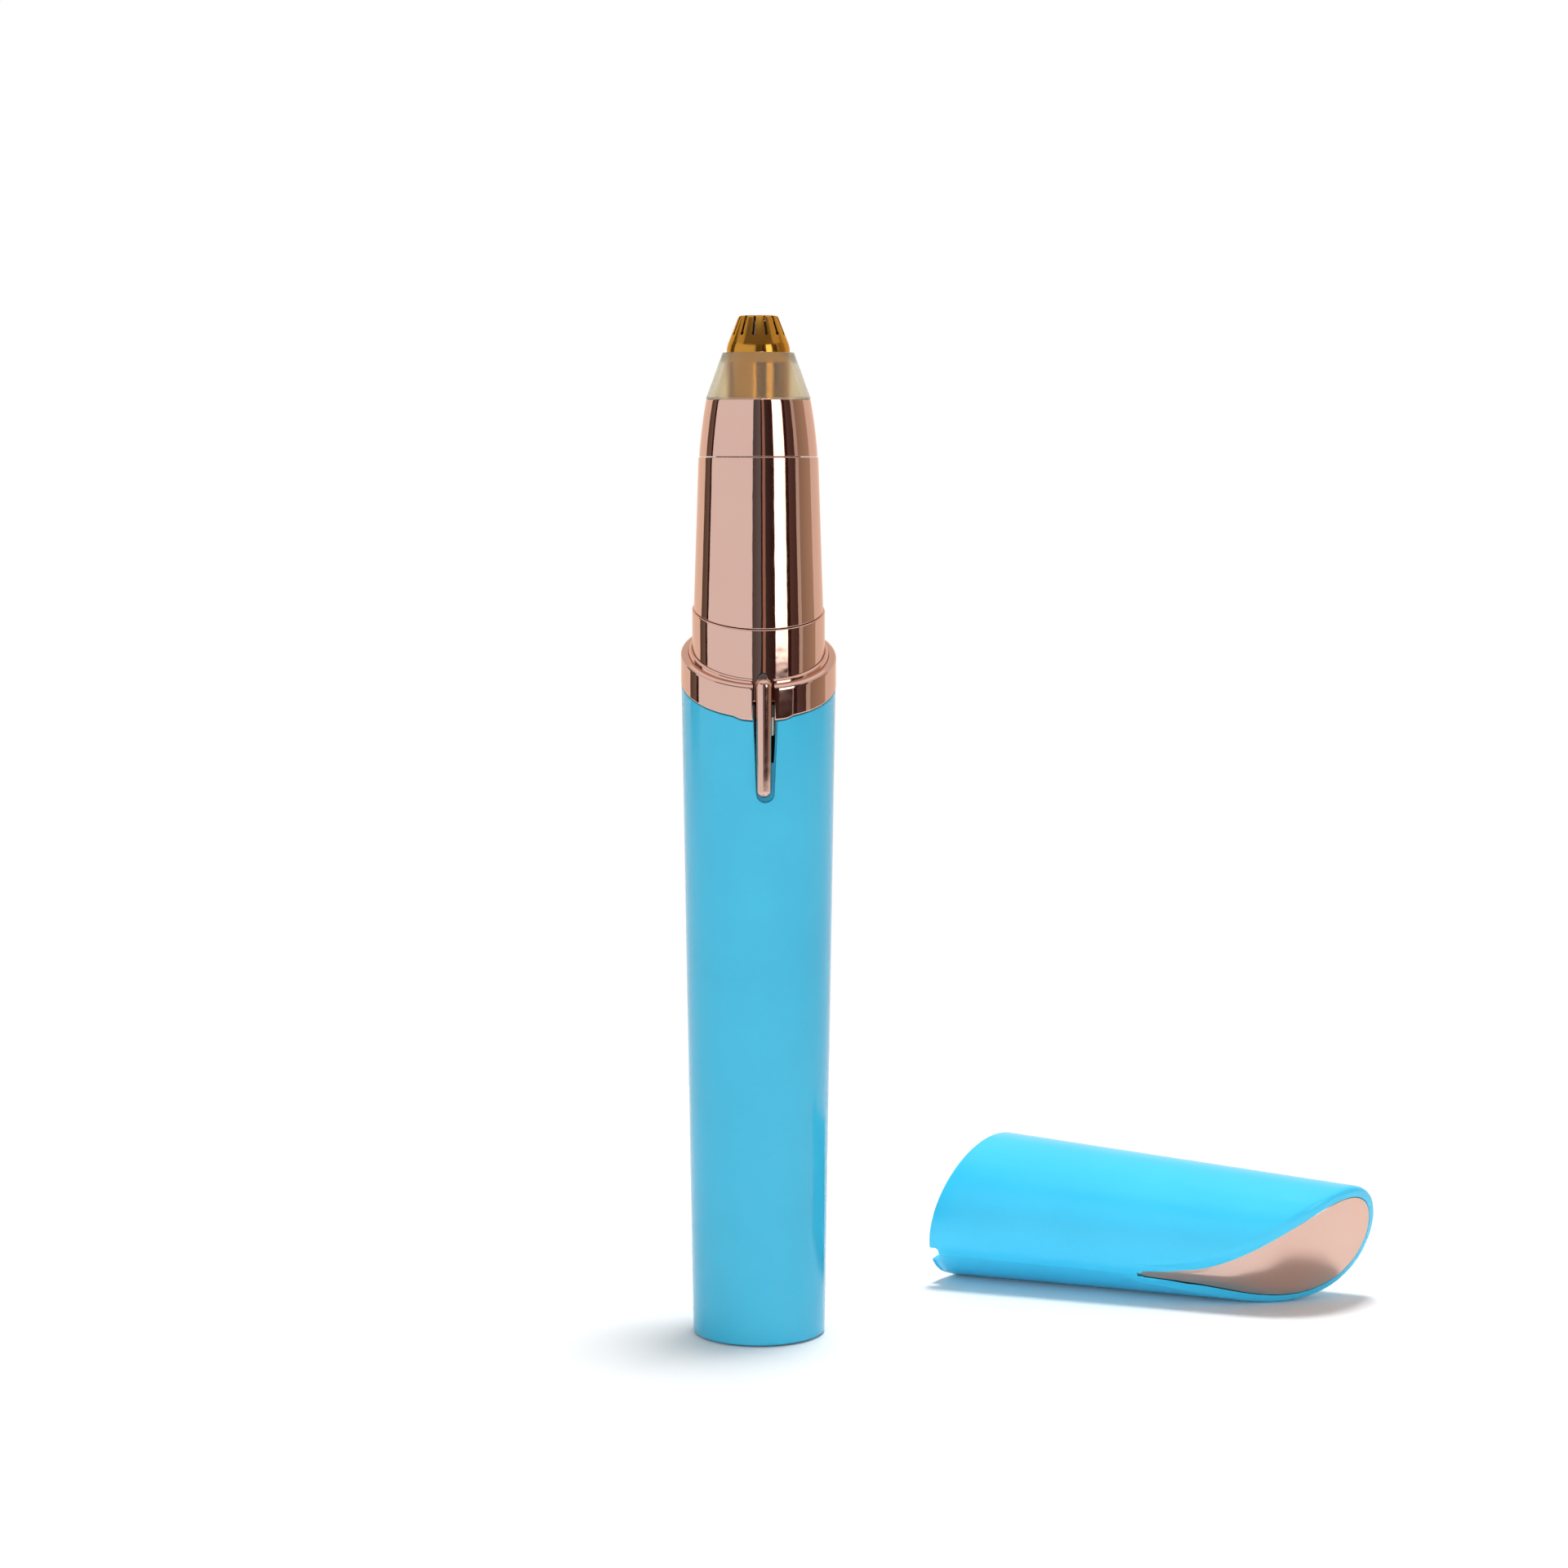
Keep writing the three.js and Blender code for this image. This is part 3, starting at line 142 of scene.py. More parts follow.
# Neck, sleeve and light
NECK_R = 8.12
NECK_WALL = 1.27
NECK_FOOT_DROP = 1.7  # of the neck's foot below the barrel's rim, on the axis
NECK_HEIGHT = 9.2
NECK_TILT = 15.5
SLEEVE_LENGTH = 18.45
SLEEVE_FOOT_R = 7.92
SLEEVE_TOP_R = 7.31
SLEEVE_WALL = 1.0
LENS_R = 0.5
LENS_HEIGHT = 1.2
LENS_RISE = 0.3
LENS_LENGTH = 0.9
LENS_GAP = 0.08
LENS_ROUND_END = 88.0  # degrees of its dome, up to a small flat
LENS_STEPS = 8

# Pull-off head, foil and cutter
HEAD_HEIGHT = 6.75
HEAD_FOOT_R = 7.21
HEAD_TOP_R = 6.35
HEAD_BULGE = 0.1
HEAD_WALL = 0.9
HEAD_LIP = 0.8
HEAD_LIP_EDGE = 0.05
HEAD_STEPS = 16
GUARD_HEIGHT = 5.5
GUARD_FOOT_R = 6.4
GUARD_TOP_R = 4.35
GUARD_WALL = 0.95
GUARD_LAND = 1.4
GUARD_FOOT_EDGE = 0.1
GUARD_TOP_EDGE = 0.08
FOIL_RISE = 4.45
FOIL_SKIRT_R = 3.85
FOIL_CONE = 3.35
FOIL_CONE_R = 2.53
FOIL_EDGE = 0.42
FOIL_SHOULDER_ROUND = 3.3
FOIL_TOP_ROUND = 0.42
FOIL_WALL = 0.15
FOIL_FLANGE = 0.75
FOIL_FLANGE_THICK = 0.35
FOIL_SHOULDER_DROP = 0.25  # of the inner shoulder, as a share of the wall
FOIL_SLOTS = 13
FOIL_SIDES = 12  # sides of the foil for each slot
FOIL_SLOT_WIDTH = 0.3
FOIL_SLOT_DEPTH = 2.4
FOIL_SLOT_INNER_R = 1.0
FOIL_SLOT_HOLE_R = 0.23  # of the round hole at each slot's lower end

# Cap, measured from the front of its rim
CAP_LENGTH = 55.6
CAP_RIM_R = 9.9
CAP_TAPER = 2.1
CAP_WALL = 0.9
CAP_END_WALL = 0.9
CAP_ROUND = 192  # sides of the cap
CAP_CROWDING = 1.5  # how strongly they crowd together at its front
CAP_STEPS = 24  # steps along its side, and from its side to its axis
RIM_ROUND = 0.25
RIM_INSIDE = ((0.0, RIM_ROUND), (0.08, 0.06), (RIM_ROUND, 0.02))  # (in from the bore, above the rim)
RIM_OUTSIDE = ((RIM_ROUND, 0.0), (0.06, 0.07))  # (in from the outer wall, above the rim)
NOTCH_WIDTH = 2.4
NOTCH_DEPTH = 1.2
NOTCH_CORNER = 0.3
SLANT_TAIL = 28.6
SLANT_TAIL_DEPTH = 0.15
SLANT_STEEP = 9.9
SLANT_STEEP_DEPTH = 0.85
SLANT_TURN = 6.8
SLANT_TURN_DEPTH = 1.25
SLANT_END_DROP = 0.6
SLANT_STEPS = 64
INLAY_THICK = 0.6
INLAY_EDGE = 0.12
INLAY_EDGE_SHARE = 0.2  # of the plate's side that its rounded edge takes
INLAY_INSET = 1.4
INLAY_FULL = 21.4
INLAY_TAIL_INSET = 0.13
INLAY_NECK = 5.4
INLAY_NECK_INSET = 0.29
INLAY_FLARE = 9.4
INLAY_FLARE_INSET = 0.56
TAIL_GAP = 0.7
BORDER_ROUND = 1.3  # rounding of the border round the inlay
BORDER_SHARE = 0.8  # the most of the border's width that this rounding takes
INLAY_GAP = 0.07
INLAY_CROWNS = (0.3, 0.24, 0.1, 0.05, 0.0)  # swell of the inlay's face, as a share of its half width
INLAY_CROWN_PLACES = (SLANT_TAIL, 41.0, 45.5, 50.0, CAP_LENGTH)  # where along the cap it swells so
CREASE_FALL = 0.3  # how far the cap falls away below the crease along its front
CREASE_SPAN = 45.0  # degrees over which it does
CREASE_FADE = 12.0  # length over which it dies out, half of it past the tail

# Inside, seen when the trimmer is taken apart
FRAME_END = 1.4  # thickness of the walls at the ends of the battery bay
FRAME_EDGE = 0.25
FRAME_HEAD_BORE = 3.2
BAY_MOUTH = 2.0
BAY_R = 5.6
COVER_BACK = 0.8
WINDOW_WIDTH = 4.6
STEM_WIDTH = 1.4
BOSS_R = 1.8
BOSS_HEIGHT = 2.1
SCREW_R = 0.7
SCREW_HEAD_R = 1.3
SCREW_HEAD = 0.5
SCREW_LENGTH = 6.0
SCREW_EDGE = 0.3
SCREW_CROSS = 1.5  # length of the arms of the cross in its head
SCREW_CROSS_WIDTH = 0.36
SCREW_CROSS_DEPTH = 0.35
CELL_R = 5.25
CELL_FACE_R = 4.5  # of the bare metal at its ends
CELL_SINK = 0.2  # of that metal below the jacket's edge
CELL_NUB_R = 1.9
CELL_NUB = 0.9
CELL_TOP_EDGE = 0.5
CELL_LIP_EDGE = 0.08
CELL_BAND = 9.0  # length of the band at its positive end
CELL_BAND_DROP = 0.6  # of the band below the cell's shoulder
CELL_BAND_BED = 0.1
CELL_BAND_RISE = 0.02
METAL_GAP = 0.02  # between the bare metal and the jacket
METAL_SEAT = 0.05
METAL_RISE = 0.08
METAL_EDGE = 0.04
NUB_FOOT_ROUND = 0.15
NUB_EDGE = 0.25
SPRING_R = 3.0
SPRING_WIRE = 0.25
SPRING_TURNS = 4
CUTTER_SPRING_R = 1.9
CUTTER_SPRING_WIRE = 0.2
CUTTER_SPRING_TURNS = 6
COIL_STEPS = 40  # steps of a turn
WIRE_SIDES = 12
STRIP_WIDTH = 3.0
STRIP_EDGE = 0.1
CONTACT_THICK = 0.4
PLUG_WALL = 1.1
WEB_RISE = 2.0
WEB_THICK = 1.4
SPINDLE_R = 0.8
BUSH_WALL = 0.5
MOTOR_R = 5.9
MOTOR_WALL = 0.5
SHAFT_R = 0.75
BEARING_R = 1.6
COUPLING_R = 2.3
COUPLING_SLOT = 1.6
COUPLING_SOCKET = 2.4

# Camera
CAMERA_PLACE = (154.83, -382.2, 108.7)
CAMERA_HEADING = 21.62  # degrees that the view turns to the left of +Y
CAMERA_PITCH = 5.56  # degrees down
CAMERA_LENS = 77.4


def slope(angle):
    return tan(radians(angle))


def slanted(middle, tilt, radius, angle):
    """Height of a slanted plane, lower at the front, at a radius and angle."""
    return middle - radius * cos(angle) * slope(tilt)


def spread(start, end, steps):
    """Evenly spaced numbers, both ends included."""
    return [start + (end - start) * i / steps for i in range(steps + 1)]


# Places that follow from the sizes
barrel_slope = (BARREL_RIM_R - BARREL_BASE_R) / BARREL_HEIGHT
slot_foot = BARREL_HEIGHT - SLOT_LENGTH
opening_foot = BARREL_HEIGHT - OPENING_LENGTH
recess_plane = BARREL_BASE_R + barrel_slope * opening_foot - BARREL_WALL + RECESS_FLOOR
clip_foot = slot_foot + CLIP_FOOT_GAP
clip_back = recess_plane + GAP
clip_front = BARREL_RIM_R + CLIP_RISE
neck_foot = BARREL_HEIGHT - NECK_FOOT_DROP
neck_top = BARREL_HEIGHT + NECK_HEIGHT
neck_bore = NECK_R - NECK_WALL
collar_top = BARREL_HEIGHT + COLLAR_HEIGHT
sleeve_top = neck_top + SLEEVE_LENGTH
lens_middle = BARREL_HEIGHT + LENS_HEIGHT
head_foot = sleeve_top + SEAM
head_top = head_foot + HEAD_HEIGHT
head_seam = sleeve_top + HAIRLINE
head_lip_foot = head_top - HEAD_LIP
guard_foot = head_top + FIT
guard_top = guard_foot + GUARD_HEIGHT
foil_top = guard_top + FOIL_RISE
foil_cone_foot = foil_top - FOIL_EDGE - FOIL_CONE
foil_flange_r = FOIL_SKIRT_R + FOIL_FLANGE
flange_top = head_lip_foot - GAP
flange_foot = flange_top - FOIL_FLANGE_THICK

TRIMMER = Matrix.Scale(MM, 4) @ Matrix.Rotation(radians(TRIMMER_TURN), 4, "Z")


def cap_place():
    """The cap lies on its side, with its slanted end towards +X."""
    taper = radians(CAP_TAPER)
    roll = radians(CAP_ROLL)
    axis = Vector((cos(taper), 0, -sin(taper)))
    level = Vector((0, cos(roll), sin(roll)))
    side = level.cross(axis).normalized()
    back = axis.cross(side)
    turn = Matrix((side, back, axis)).transposed().to_4x4()
    rest = Matrix.Translation((CAP_X, CAP_Y, CAP_RIM_R * cos(taper)))
    return Matrix.Scale(MM, 4) @ rest @ turn


CAP = cap_place()


# Meshes

def all_round(sides):
    """Evenly spaced angles of a full turn."""
    return [tau * i / sides for i in range(sides)]


def placed(name, data):
    """A new object in the scene."""
    made = bpy.data.objects.new(name, data)
    bpy.context.collection.objects.link(made)
    return made


def solid(points, faces):
    """A closed mesh with its doubled points merged and its faces pointing out."""
    mesh = bpy.data.meshes.new("piece")
    mesh.from_pydata(points, [], faces)
    body = bmesh.new()
    body.from_mesh(mesh)
    bmesh.ops.remove_doubles(body, verts=body.verts, dist=MERGE)
    bmesh.ops.recalc_face_normals(body, faces=body.faces)
    body.to_mesh(mesh)
    body.free()
    return placed("piece", mesh)


def rounded(corners):
    """A section from (radius, height, rounding) corners, with an arc at each rounded one."""
    section = []
    for i, (x, z, rounding) in enumerate(corners):
        if rounding == 0:
            section.append((x, z))
            continue
        corner = Vector((x, z))
        back = (Vector(corners[i - 1][:2]) - corner).normalized()
        onward = (Vector(corners[(i + 1) % len(corners)][:2]) - corner).normalized()
        half = back.angle(onward) / 2
        reach = rounding / tan(half)
        middle = corner + (back + onward).normalized() * (rounding / sin(half))
        start, end = (corner + way * reach - middle for way in (back, onward))
        first = atan2(start.y, start.x)
        turn = remainder(atan2(end.y, end.x) - first, tau)
        for angle in spread(first, first + turn, ARC):
            section.append((middle.x + rounding * cos(angle), middle.y + rounding * sin(angle)))
    return section


def ring(section_at, angles=None):
    """A body round the Z axis, from its closed section of (radius, height) pairs at each angle."""
    angles = angles or all_round(ROUND)
    points = []
    for angle in angles:
        points += [(r * sin(angle), -r * cos(angle), z) for r, z in section_at(angle)]
    count = len(points) // len(angles)
    faces = []
    for i in range(len(angles)):
        here, beside = i * count, (i + 1) % len(angles) * count
        for j in range(count):
            up = (j + 1) % count
            faces.append((here + j, beside + j, beside + up, here + up))
    return solid(points, faces)


def turned(corners, sides=ROUND):
    """A round body from the corners of its section."""
    section = rounded(corners)
    return ring(lambda angle: section, all_round(sides))


def tube(bore, radius, foot, top, foot_edge=0, top_edge=0):
    """A round body with a bore along its axis, or none where that is 0."""
    return turned([(bore, foot, 0), (radius, foot, foot_edge), (radius, top, top_edge), (bore, top, 0)])


def loft(loops):
    """A body through closed loops of points, with a face across each end."""
    count = len(loops[0])
    points = [point for loop in loops for point in loop]
    faces = [tuple(range(count)), tuple(range(len(points) - count, len(points)))]
    for k in range(len(loops) - 1):
        for j in range(count):
            beside = (j + 1) % count
            here, above = k * count, (k + 1) * count
            faces.append((here + j, here + beside, above + beside, above + j))
    return solid(points, faces)


def circle(radius, depth, height):
    """A loop round a line that runs forward, at a distance in front of the axis."""
    turns = all_round(SMALL_ROUND)
    return [(radius * cos(turn), -depth, height + radius * sin(turn)) for turn in turns]


def pin(radius, near, far, height):
    """A round pin that runs forward, between two distances in front of the axis."""
    return loft([circle(radius, depth, height) for depth in (near, far)])


def bar(outline, near, far):
    """A bar of an (across, height) outline, between two distances in front of the axis."""
    return loft([[(x, -depth, z) for x, z in outline] for depth in (near, far)])


def block(low, high):
    """A block between its lowest and its highest corner."""
    sides = [(low[0], low[1]), (high[0], low[1]), (high[0], high[1]), (low[0], high[1])]
    return loft([[(x, y, z) for x, y in sides] for z in (low[2], high[2])])


def bake(piece):
    """Turns a piece's modifiers into its mesh."""
    graph = bpy.context.evaluated_depsgraph_get()
    mesh = bpy.data.meshes.new_from_object(piece.evaluated_get(graph))
    piece.modifiers.clear()
    piece.data = mesh


def combine(piece, other, operation):
    change = piece.modifiers.new("combine", "BOOLEAN")
    change.operation = operation
    change.solver = "EXACT"
    change.object = other
    bake(piece)
    bpy.data.objects.remove(other)


def cut(piece, cutter):
    """Takes the cutter's volume out of the piece."""
    combine(piece, cutter, "DIFFERENCE")


def join(piece, other):
    """Adds the other's volume to the piece."""
    combine(piece, other, "UNION")


def soften(piece, width):
    """Rounds a piece's sharp edges."""
    change = piece.modifiers.new("soften", "BEVEL")
    change.width = width
    change.segments = 2
    change.limit_method = "ANGLE"
    change.angle_limit = radians(SHARP)
    bake(piece)


def finish(piece, name, body, slot, place=TRIMMER):
    """Places a piece in the frame, on a body, and gives it its look."""
    piece.name = name
    mesh = piece.data
    mesh.transform(place)
    mesh.shade_smooth()
    mesh.set_sharp_from_angle(angle=radians(SHARP))
    shade = piece.modifiers.new("shade", "WEIGHTED_NORMAL")
    shade.keep_sharp = True
    mesh.materials.clear()
    mesh.materials.append(looks[slot])
    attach(piece, body)


def dress(piece, node, place=TRIMMER):
    """Finishes a piece that stands for a node, on the node's body and with its look."""
    finish(piece, f"{node}_look", node_bodies[node], node_slots[node], place)
    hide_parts(node)


# Looks

PATTERN_LOW = 0.3  # where a pattern's low value begins to give way to its high one
PATTERN_HIGH = 0.7
DRIFT_CELLS = 90  # cells to the metre of the slow drift of colour
PLASTIC_IOR = 1.46


def linear(red, green, blue):
    """A colour given in screen values, 0 to 255, as the numbers that a shader takes."""
    return tuple(((value / 255 + 0.055) / 1.055) ** 2.4 for value in (red, green, blue))


def new_look(name):
    look = bpy.data.materials.new(name)
    look.use_nodes = True
    return look, look.node_tree, look.node_tree.nodes["Principled BSDF"].inputs


def new_node(tree, kind, inputs):
    """A new shader node, with its inputs set to values or linked to other nodes' outputs."""
    made = tree.nodes.new(f"ShaderNode{kind}")
    for name, value in inputs.items():
        if isinstance(value, bpy.types.NodeSocket):
            tree.links.new(value, made.inputs[name])
        else:
            made.inputs[name].default_value = value
    return made


def noise(tree, cells, detail=2.0):
    """A cloudy pattern with so many cells to the metre."""
    place = new_node(tree, "TexCoord", {}).outputs["Object"]
    return new_node(tree, "TexNoise", {"Vector": place, "Scale": cells, "Detail": detail}).outputs["Fac"]


def between(tree, pattern, low, high):
    """A number that follows a pattern."""
    span = {"From Min": PATTERN_LOW, "From Max": PATTERN_HIGH, "To Min": low, "To Max": high}
    return new_node(tree, "MapRange", {"Value": pattern, **span}).outputs["Result"]


def tinted(tree, pattern, low, high):
    """A colour that follows a pattern."""
    ramp = new_node(tree, "ValToRGB", {"Fac": pattern})
    stops = (PATTERN_LOW, low), (PATTERN_HIGH, high)
    for stop, (place, colour) in zip(ramp.color_ramp.elements, stops):
        stop.position = place
        stop.color = (*colour, 1)
    return ramp.outputs["Color"]


def relief(tree, pattern, height):
    """A normal that follows a pattern of a height in millimetres."""
    bump = {"Distance": height * MM, "Height": pattern}
    return new_node(tree, "Bump", bump).outputs["Normal"]


def surface(name, colours, roughness, grain, height, metal=0.0):
    """A look whose colour drifts between two tints, with a grain in its gloss and a coarser relief."""
    look, tree, inputs = new_look(name)
    tree.links.new(tinted(tree, noise(tree, DRIFT_CELLS, detail=3), *colours), inputs["Base Color"])
    tree.links.new(between(tree, noise(tree, grain, detail=3), *roughness), inputs["Roughness"])
    tree.links.new(relief(tree, noise(tree, grain / 3), height), inputs["Normal"])
    inputs["Metallic"].default_value = metal
    return look, inputs


def gloss_plastic(name, low, high, roughness):
    look, inputs = surface(name, (low, high), roughness, grain=1400, height=0.0006)
    inputs["IOR"].default_value = PLASTIC_IOR
    return look


def dull_plastic(name, low, high):
    tints = linear(*low), linear(*high)
    return surface(name, tints, roughness=(0.42, 0.6), grain=4200, height=0.004)[0]


def plated(name, low, high, roughness, edge, grain, height):
    """Plated or bare metal; the edge colour is what it takes on where it is seen at a slant."""
    look, inputs = surface(name, (linear(*low), linear(*high)), roughness, grain, height, metal=1.0)
    inputs["Specular Tint"].default_value = (*edge, 1)
    return look


def clear_plastic(name, low, high, roughness, clear):
    """See-through plastic; what isn't clear in it is milky."""
    look, inputs = surface(name, (low, high), roughness, grain=5200, height=0.0005)
    inputs["Transmission Weight"].default_value = clear
    inputs["IOR"].default_value = PLASTIC_IOR
    return look


PALE_EDGE = (1.0, 0.98, 0.95)
ROSE_EDGE = (1.0, 0.82, 0.72)
GOLD_EDGE = (1.0, 0.8, 0.5)

# Glossy plastics: two tints and a range of roughness
GLOSSY = {
    "barrel_blue": ((0.042, 0.46, 0.70), (0.048, 0.49, 0.735), (0.10, 0.16)),
    "cap_blue": ((0.046, 0.57, 0.88), (0.052, 0.60, 0.92), (0.2, 0.26)),
    "cell_jacket": (linear(44, 106, 71), linear(47, 110, 75), (0.2, 0.24)),
}

# Clear plastics: two tints, a range of roughness and how clear they are
CLEAR = {
    "frosted_guard": ((0.84, 0.78, 0.60), (0.88, 0.82, 0.65), (0.2, 0.26), 0.95),
    "clear_lens": ((0.4, 0.4, 0.41), (0.45, 0.45, 0.46), (0.05, 0.08), 0.9),
}

# Metals: two tints in screen values, a range of roughness, the edge colour, and the grain and its height
METALS = {
    "rose_gold": ((212, 175, 162), (215, 179, 166), (0.04, 0.07), ROSE_EDGE, 900, 0.012),
    "satin_rose": ((217, 182, 168), (220, 186, 172), (0.2, 0.25), ROSE_EDGE, 6000, 0.0004),
    "gold_foil": ((186, 132, 50), (196, 142, 60), (0.12, 0.18), GOLD_EDGE, 2400, 0.001),
    "steel": ((176, 178, 182), (190, 192, 196), (0.16, 0.24), PALE_EDGE, 2400, 0.001),
    "nickel": ((200, 198, 190), (206, 204, 197), (0.22, 0.26), PALE_EDGE, 2400, 0.001),
    "copper": ((180, 106, 52), (200, 124, 68), (0.26, 0.36), GOLD_EDGE, 2400, 0.002),
}

# Dull plastics and the like: two tints in screen values
DULL = {
    "ferrite": ((48, 49, 53), (62, 63, 68)),
    "grey_plastic": ((104, 109, 113), (114, 119, 123)),
    "black_plastic": ((25, 26, 28), (34, 35, 37)),
    "white_plastic": ((224, 224, 218), (234, 234, 229)),
    "red_plastic": ((170, 42, 36), (186, 52, 44)),
    "rubber": ((32, 32, 32), (42, 42, 41)),
    "board": ((28, 84, 50), (36, 96, 58)),
}

looks = {}
makers = (gloss_plastic, GLOSSY), (clear_plastic, CLEAR), (plated, METALS), (dull_plastic, DULL)
for make, kinds in makers:
    for kind, values in kinds.items():
        looks[kind] = make(kind, *values)


# Trimmer

def barrel_outer(height):
    return BARREL_BASE_R + barrel_slope * height


def tab_dip(angle):
    """How far the seam between barrel and collar dips at an angle, round the clip."""
    away = abs(degrees(remainder(angle, tau)))
    share = min(max((TAB_SPAN - away) / TAB_EDGE, 0), 1)
    return TAB_DEPTH * share * share * (3 - 2 * share)


def rim_height(radius, angle):
    return slanted(BARREL_HEIGHT, RIM_TILT, radius, angle) - tab_dip(angle)


def wedge(grow, steps=LONG_ARC):
    """Outline of the clip's slot, drawn out by a distance, as (across, height) pairs."""
    top = BARREL_HEIGHT + BARREL_RIM_R
    widen = (SLOT_RIM_WIDTH - SLOT_FOOT_WIDTH) / SLOT_LENGTH
    foot_r = SLOT_FOOT_WIDTH / 2
    top_r = foot_r + widen * (top - slot_foot) / 2 + grow
    lower = [
        ((foot_r + grow) * cos(angle), slot_foot + foot_r + (foot_r + grow) * sin(angle))
        for angle in spread(pi, tau, steps)
    ]
    outline = [*lower, (top_r, top), (-top_r, top)]
    return [(x + SLOT_ASIDE * (1 + x / top_r) / 2, z) for x, z in outline]


# A rounded edge where a cut meets a surface: (depth below the surface, how far the cut widens).
EDGE_FLARE = ((0.30, 0.0), (0.16, 0.02), (0.06, 0.08), (0.0, 0.18), (-1.5, 0.35))
FINE_FLARE = 0.5  # share of that widening at the barrel's slot and the lens's hole


def flared(floor_loop, loop_at):
    """A cutter from its floor to a surface, from its loop at each depth and widening."""
    return loft([floor_loop, *[loop_at(depth, grow) for depth, grow in EDGE_FLARE]])


def barrel_shell():
    pad_bed = BASE_PAD_THICK + FIT
    pad_bed_r = BASE_PAD_R + FIT

    def section(angle):
        outer = rim_height(BARREL_RIM_R, angle)
        inner = rim_height(BARREL_RIM_R - BARREL_WALL, angle)
        return rounded([
            (0, pad_bed, 0), (pad_bed_r, pad_bed, 0), (pad_bed_r, BASE_STAND, 0),
            (BARREL_BASE_R, BASE_STAND, WIDE_EDGE),
            (barrel_outer(outer), outer, RIM_EDGE), (barrel_outer(inner) - BARREL_WALL, inner, RIM_EDGE),
            (barrel_outer(BARREL_FLOOR) - BARREL_WALL, BARREL_FLOOR, WIDE_EDGE), (0, BARREL_FLOOR, 0),
        ])

    def slot_loop(depth, grow):
        return [(x, depth - barrel_outer(z), z) for x, z in wedge(grow * FINE_FLARE)]

    piece = ring(section)
    floor_loop = [(x, RECESS_SINK - recess_plane, z) for x, z in wedge(0)]
    cut(piece, flared(floor_loop, slot_loop))
    outline = [(x, max(z, opening_foot)) for x, z in wedge(0, steps=3)]
    cut(piece, bar(outline, FRAME_R, recess_plane + FIT))
    dress(piece, "barrel_shell")


def quarter(inner, outer, foot, top):
    """Corners along a quarter of an ellipse, from its outer foot to its inner top."""
    return [
        (inner + (outer - inner) * cos(turn), foot + (top - foot) * sin(turn), 0)
        for turn in spread(0, pi / 2, LONG_ARC)
    ]


def collar_ring():
    """A slanted ring with a rounded shoulder, a fine groove and a rounded lip round the neck."""
    bore = NECK_R + LIP_GAP
    bead_r = GROOVE_R - GROOVE_DEPTH

    def section(angle):
        edge = slanted(collar_top, COLLAR_TILT, COLLAR_R, angle)
        groove = slanted(collar_top + GROOVE_RISE, GROOVE_TILT, GROOVE_R, angle)
        lip = slanted(collar_top + LIP_RISE, LIP_TILT, bore, angle)
        return rounded([
            (bore, rim_height(bore, angle) + HAIRLINE, 0),
            (COLLAR_R, rim_height(COLLAR_R, angle) + HAIRLINE, COLLAR_FOOT_EDGE),
            *quarter(GROOVE_R, COLLAR_R, edge, groove), (bead_r, groove - GROOVE_DEPTH, 0),
            *quarter(bore, bead_r, groove, lip),
        ])

    def channel_loop(depth, grow):
        half = CLIP_TOP_WIDTH / 2 + GAP + grow
        corners = [(-half, slot_foot), (half, slot_foot), (half, sleeve_top), (-half, sleeve_top)]
        return [(x, depth - COLLAR_R, z) for x, z in corners]

    piece = ring(section)
    cut(piece, flared(channel_loop(COLLAR_R - neck_bore, 0), channel_loop))
    dress(piece, "collar_ring")


def neck_ring():
    def section(angle):
        return rounded([
            (neck_bore, neck_foot, 0), (NECK_R, neck_foot, EDGE),
            (NECK_R, slanted(neck_top, NECK_TILT, NECK_R, angle), EDGE),
            (neck_bore, slanted(neck_top, NECK_TILT, neck_bore, angle), 0),
        ])

    def hole_loop(depth, grow):
        return circle(LENS_R + LENS_GAP + grow * FINE_FLARE, NECK_R - depth, lens_middle)

    piece = ring(section)
    cut(piece, flared(hole_loop(NECK_WALL + GAP, 0), hole_loop))
    dress(piece, "neck_ring")


def upper_sleeve():
    lean = (SLEEVE_FOOT_R - SLEEVE_TOP_R) / SLEEVE_LENGTH

    def section(angle):
        outer = slanted(neck_top, NECK_TILT, SLEEVE_FOOT_R, angle) + HAIRLINE / 2
        inner = slanted(neck_top, NECK_TILT, SLEEVE_FOOT_R - SLEEVE_WALL, angle) + HAIRLINE / 2
        return rounded([
            (SLEEVE_TOP_R - SLEEVE_WALL + lean * (sleeve_top - inner), inner, 0),
            (SLEEVE_TOP_R + lean * (sleeve_top - outer), outer, RIM_EDGE),
            (SLEEVE_TOP_R, sleeve_top, RIM_EDGE), (SLEEVE_TOP_R - SLEEVE_WALL, sleeve_top, RIM_EDGE),
        ])

    dress(ring(section), "upper_sleeve")


def light_lens():
    loops = [circle(LENS_R, NECK_R - LENS_LENGTH, lens_middle)]
    for turn in spread(0, radians(LENS_ROUND_END), LENS_STEPS):
        loops.append(circle(LENS_R * cos(turn), NECK_R + LENS_RISE * sin(turn), lens_middle))
    dress(loft(loops), "light_lens")


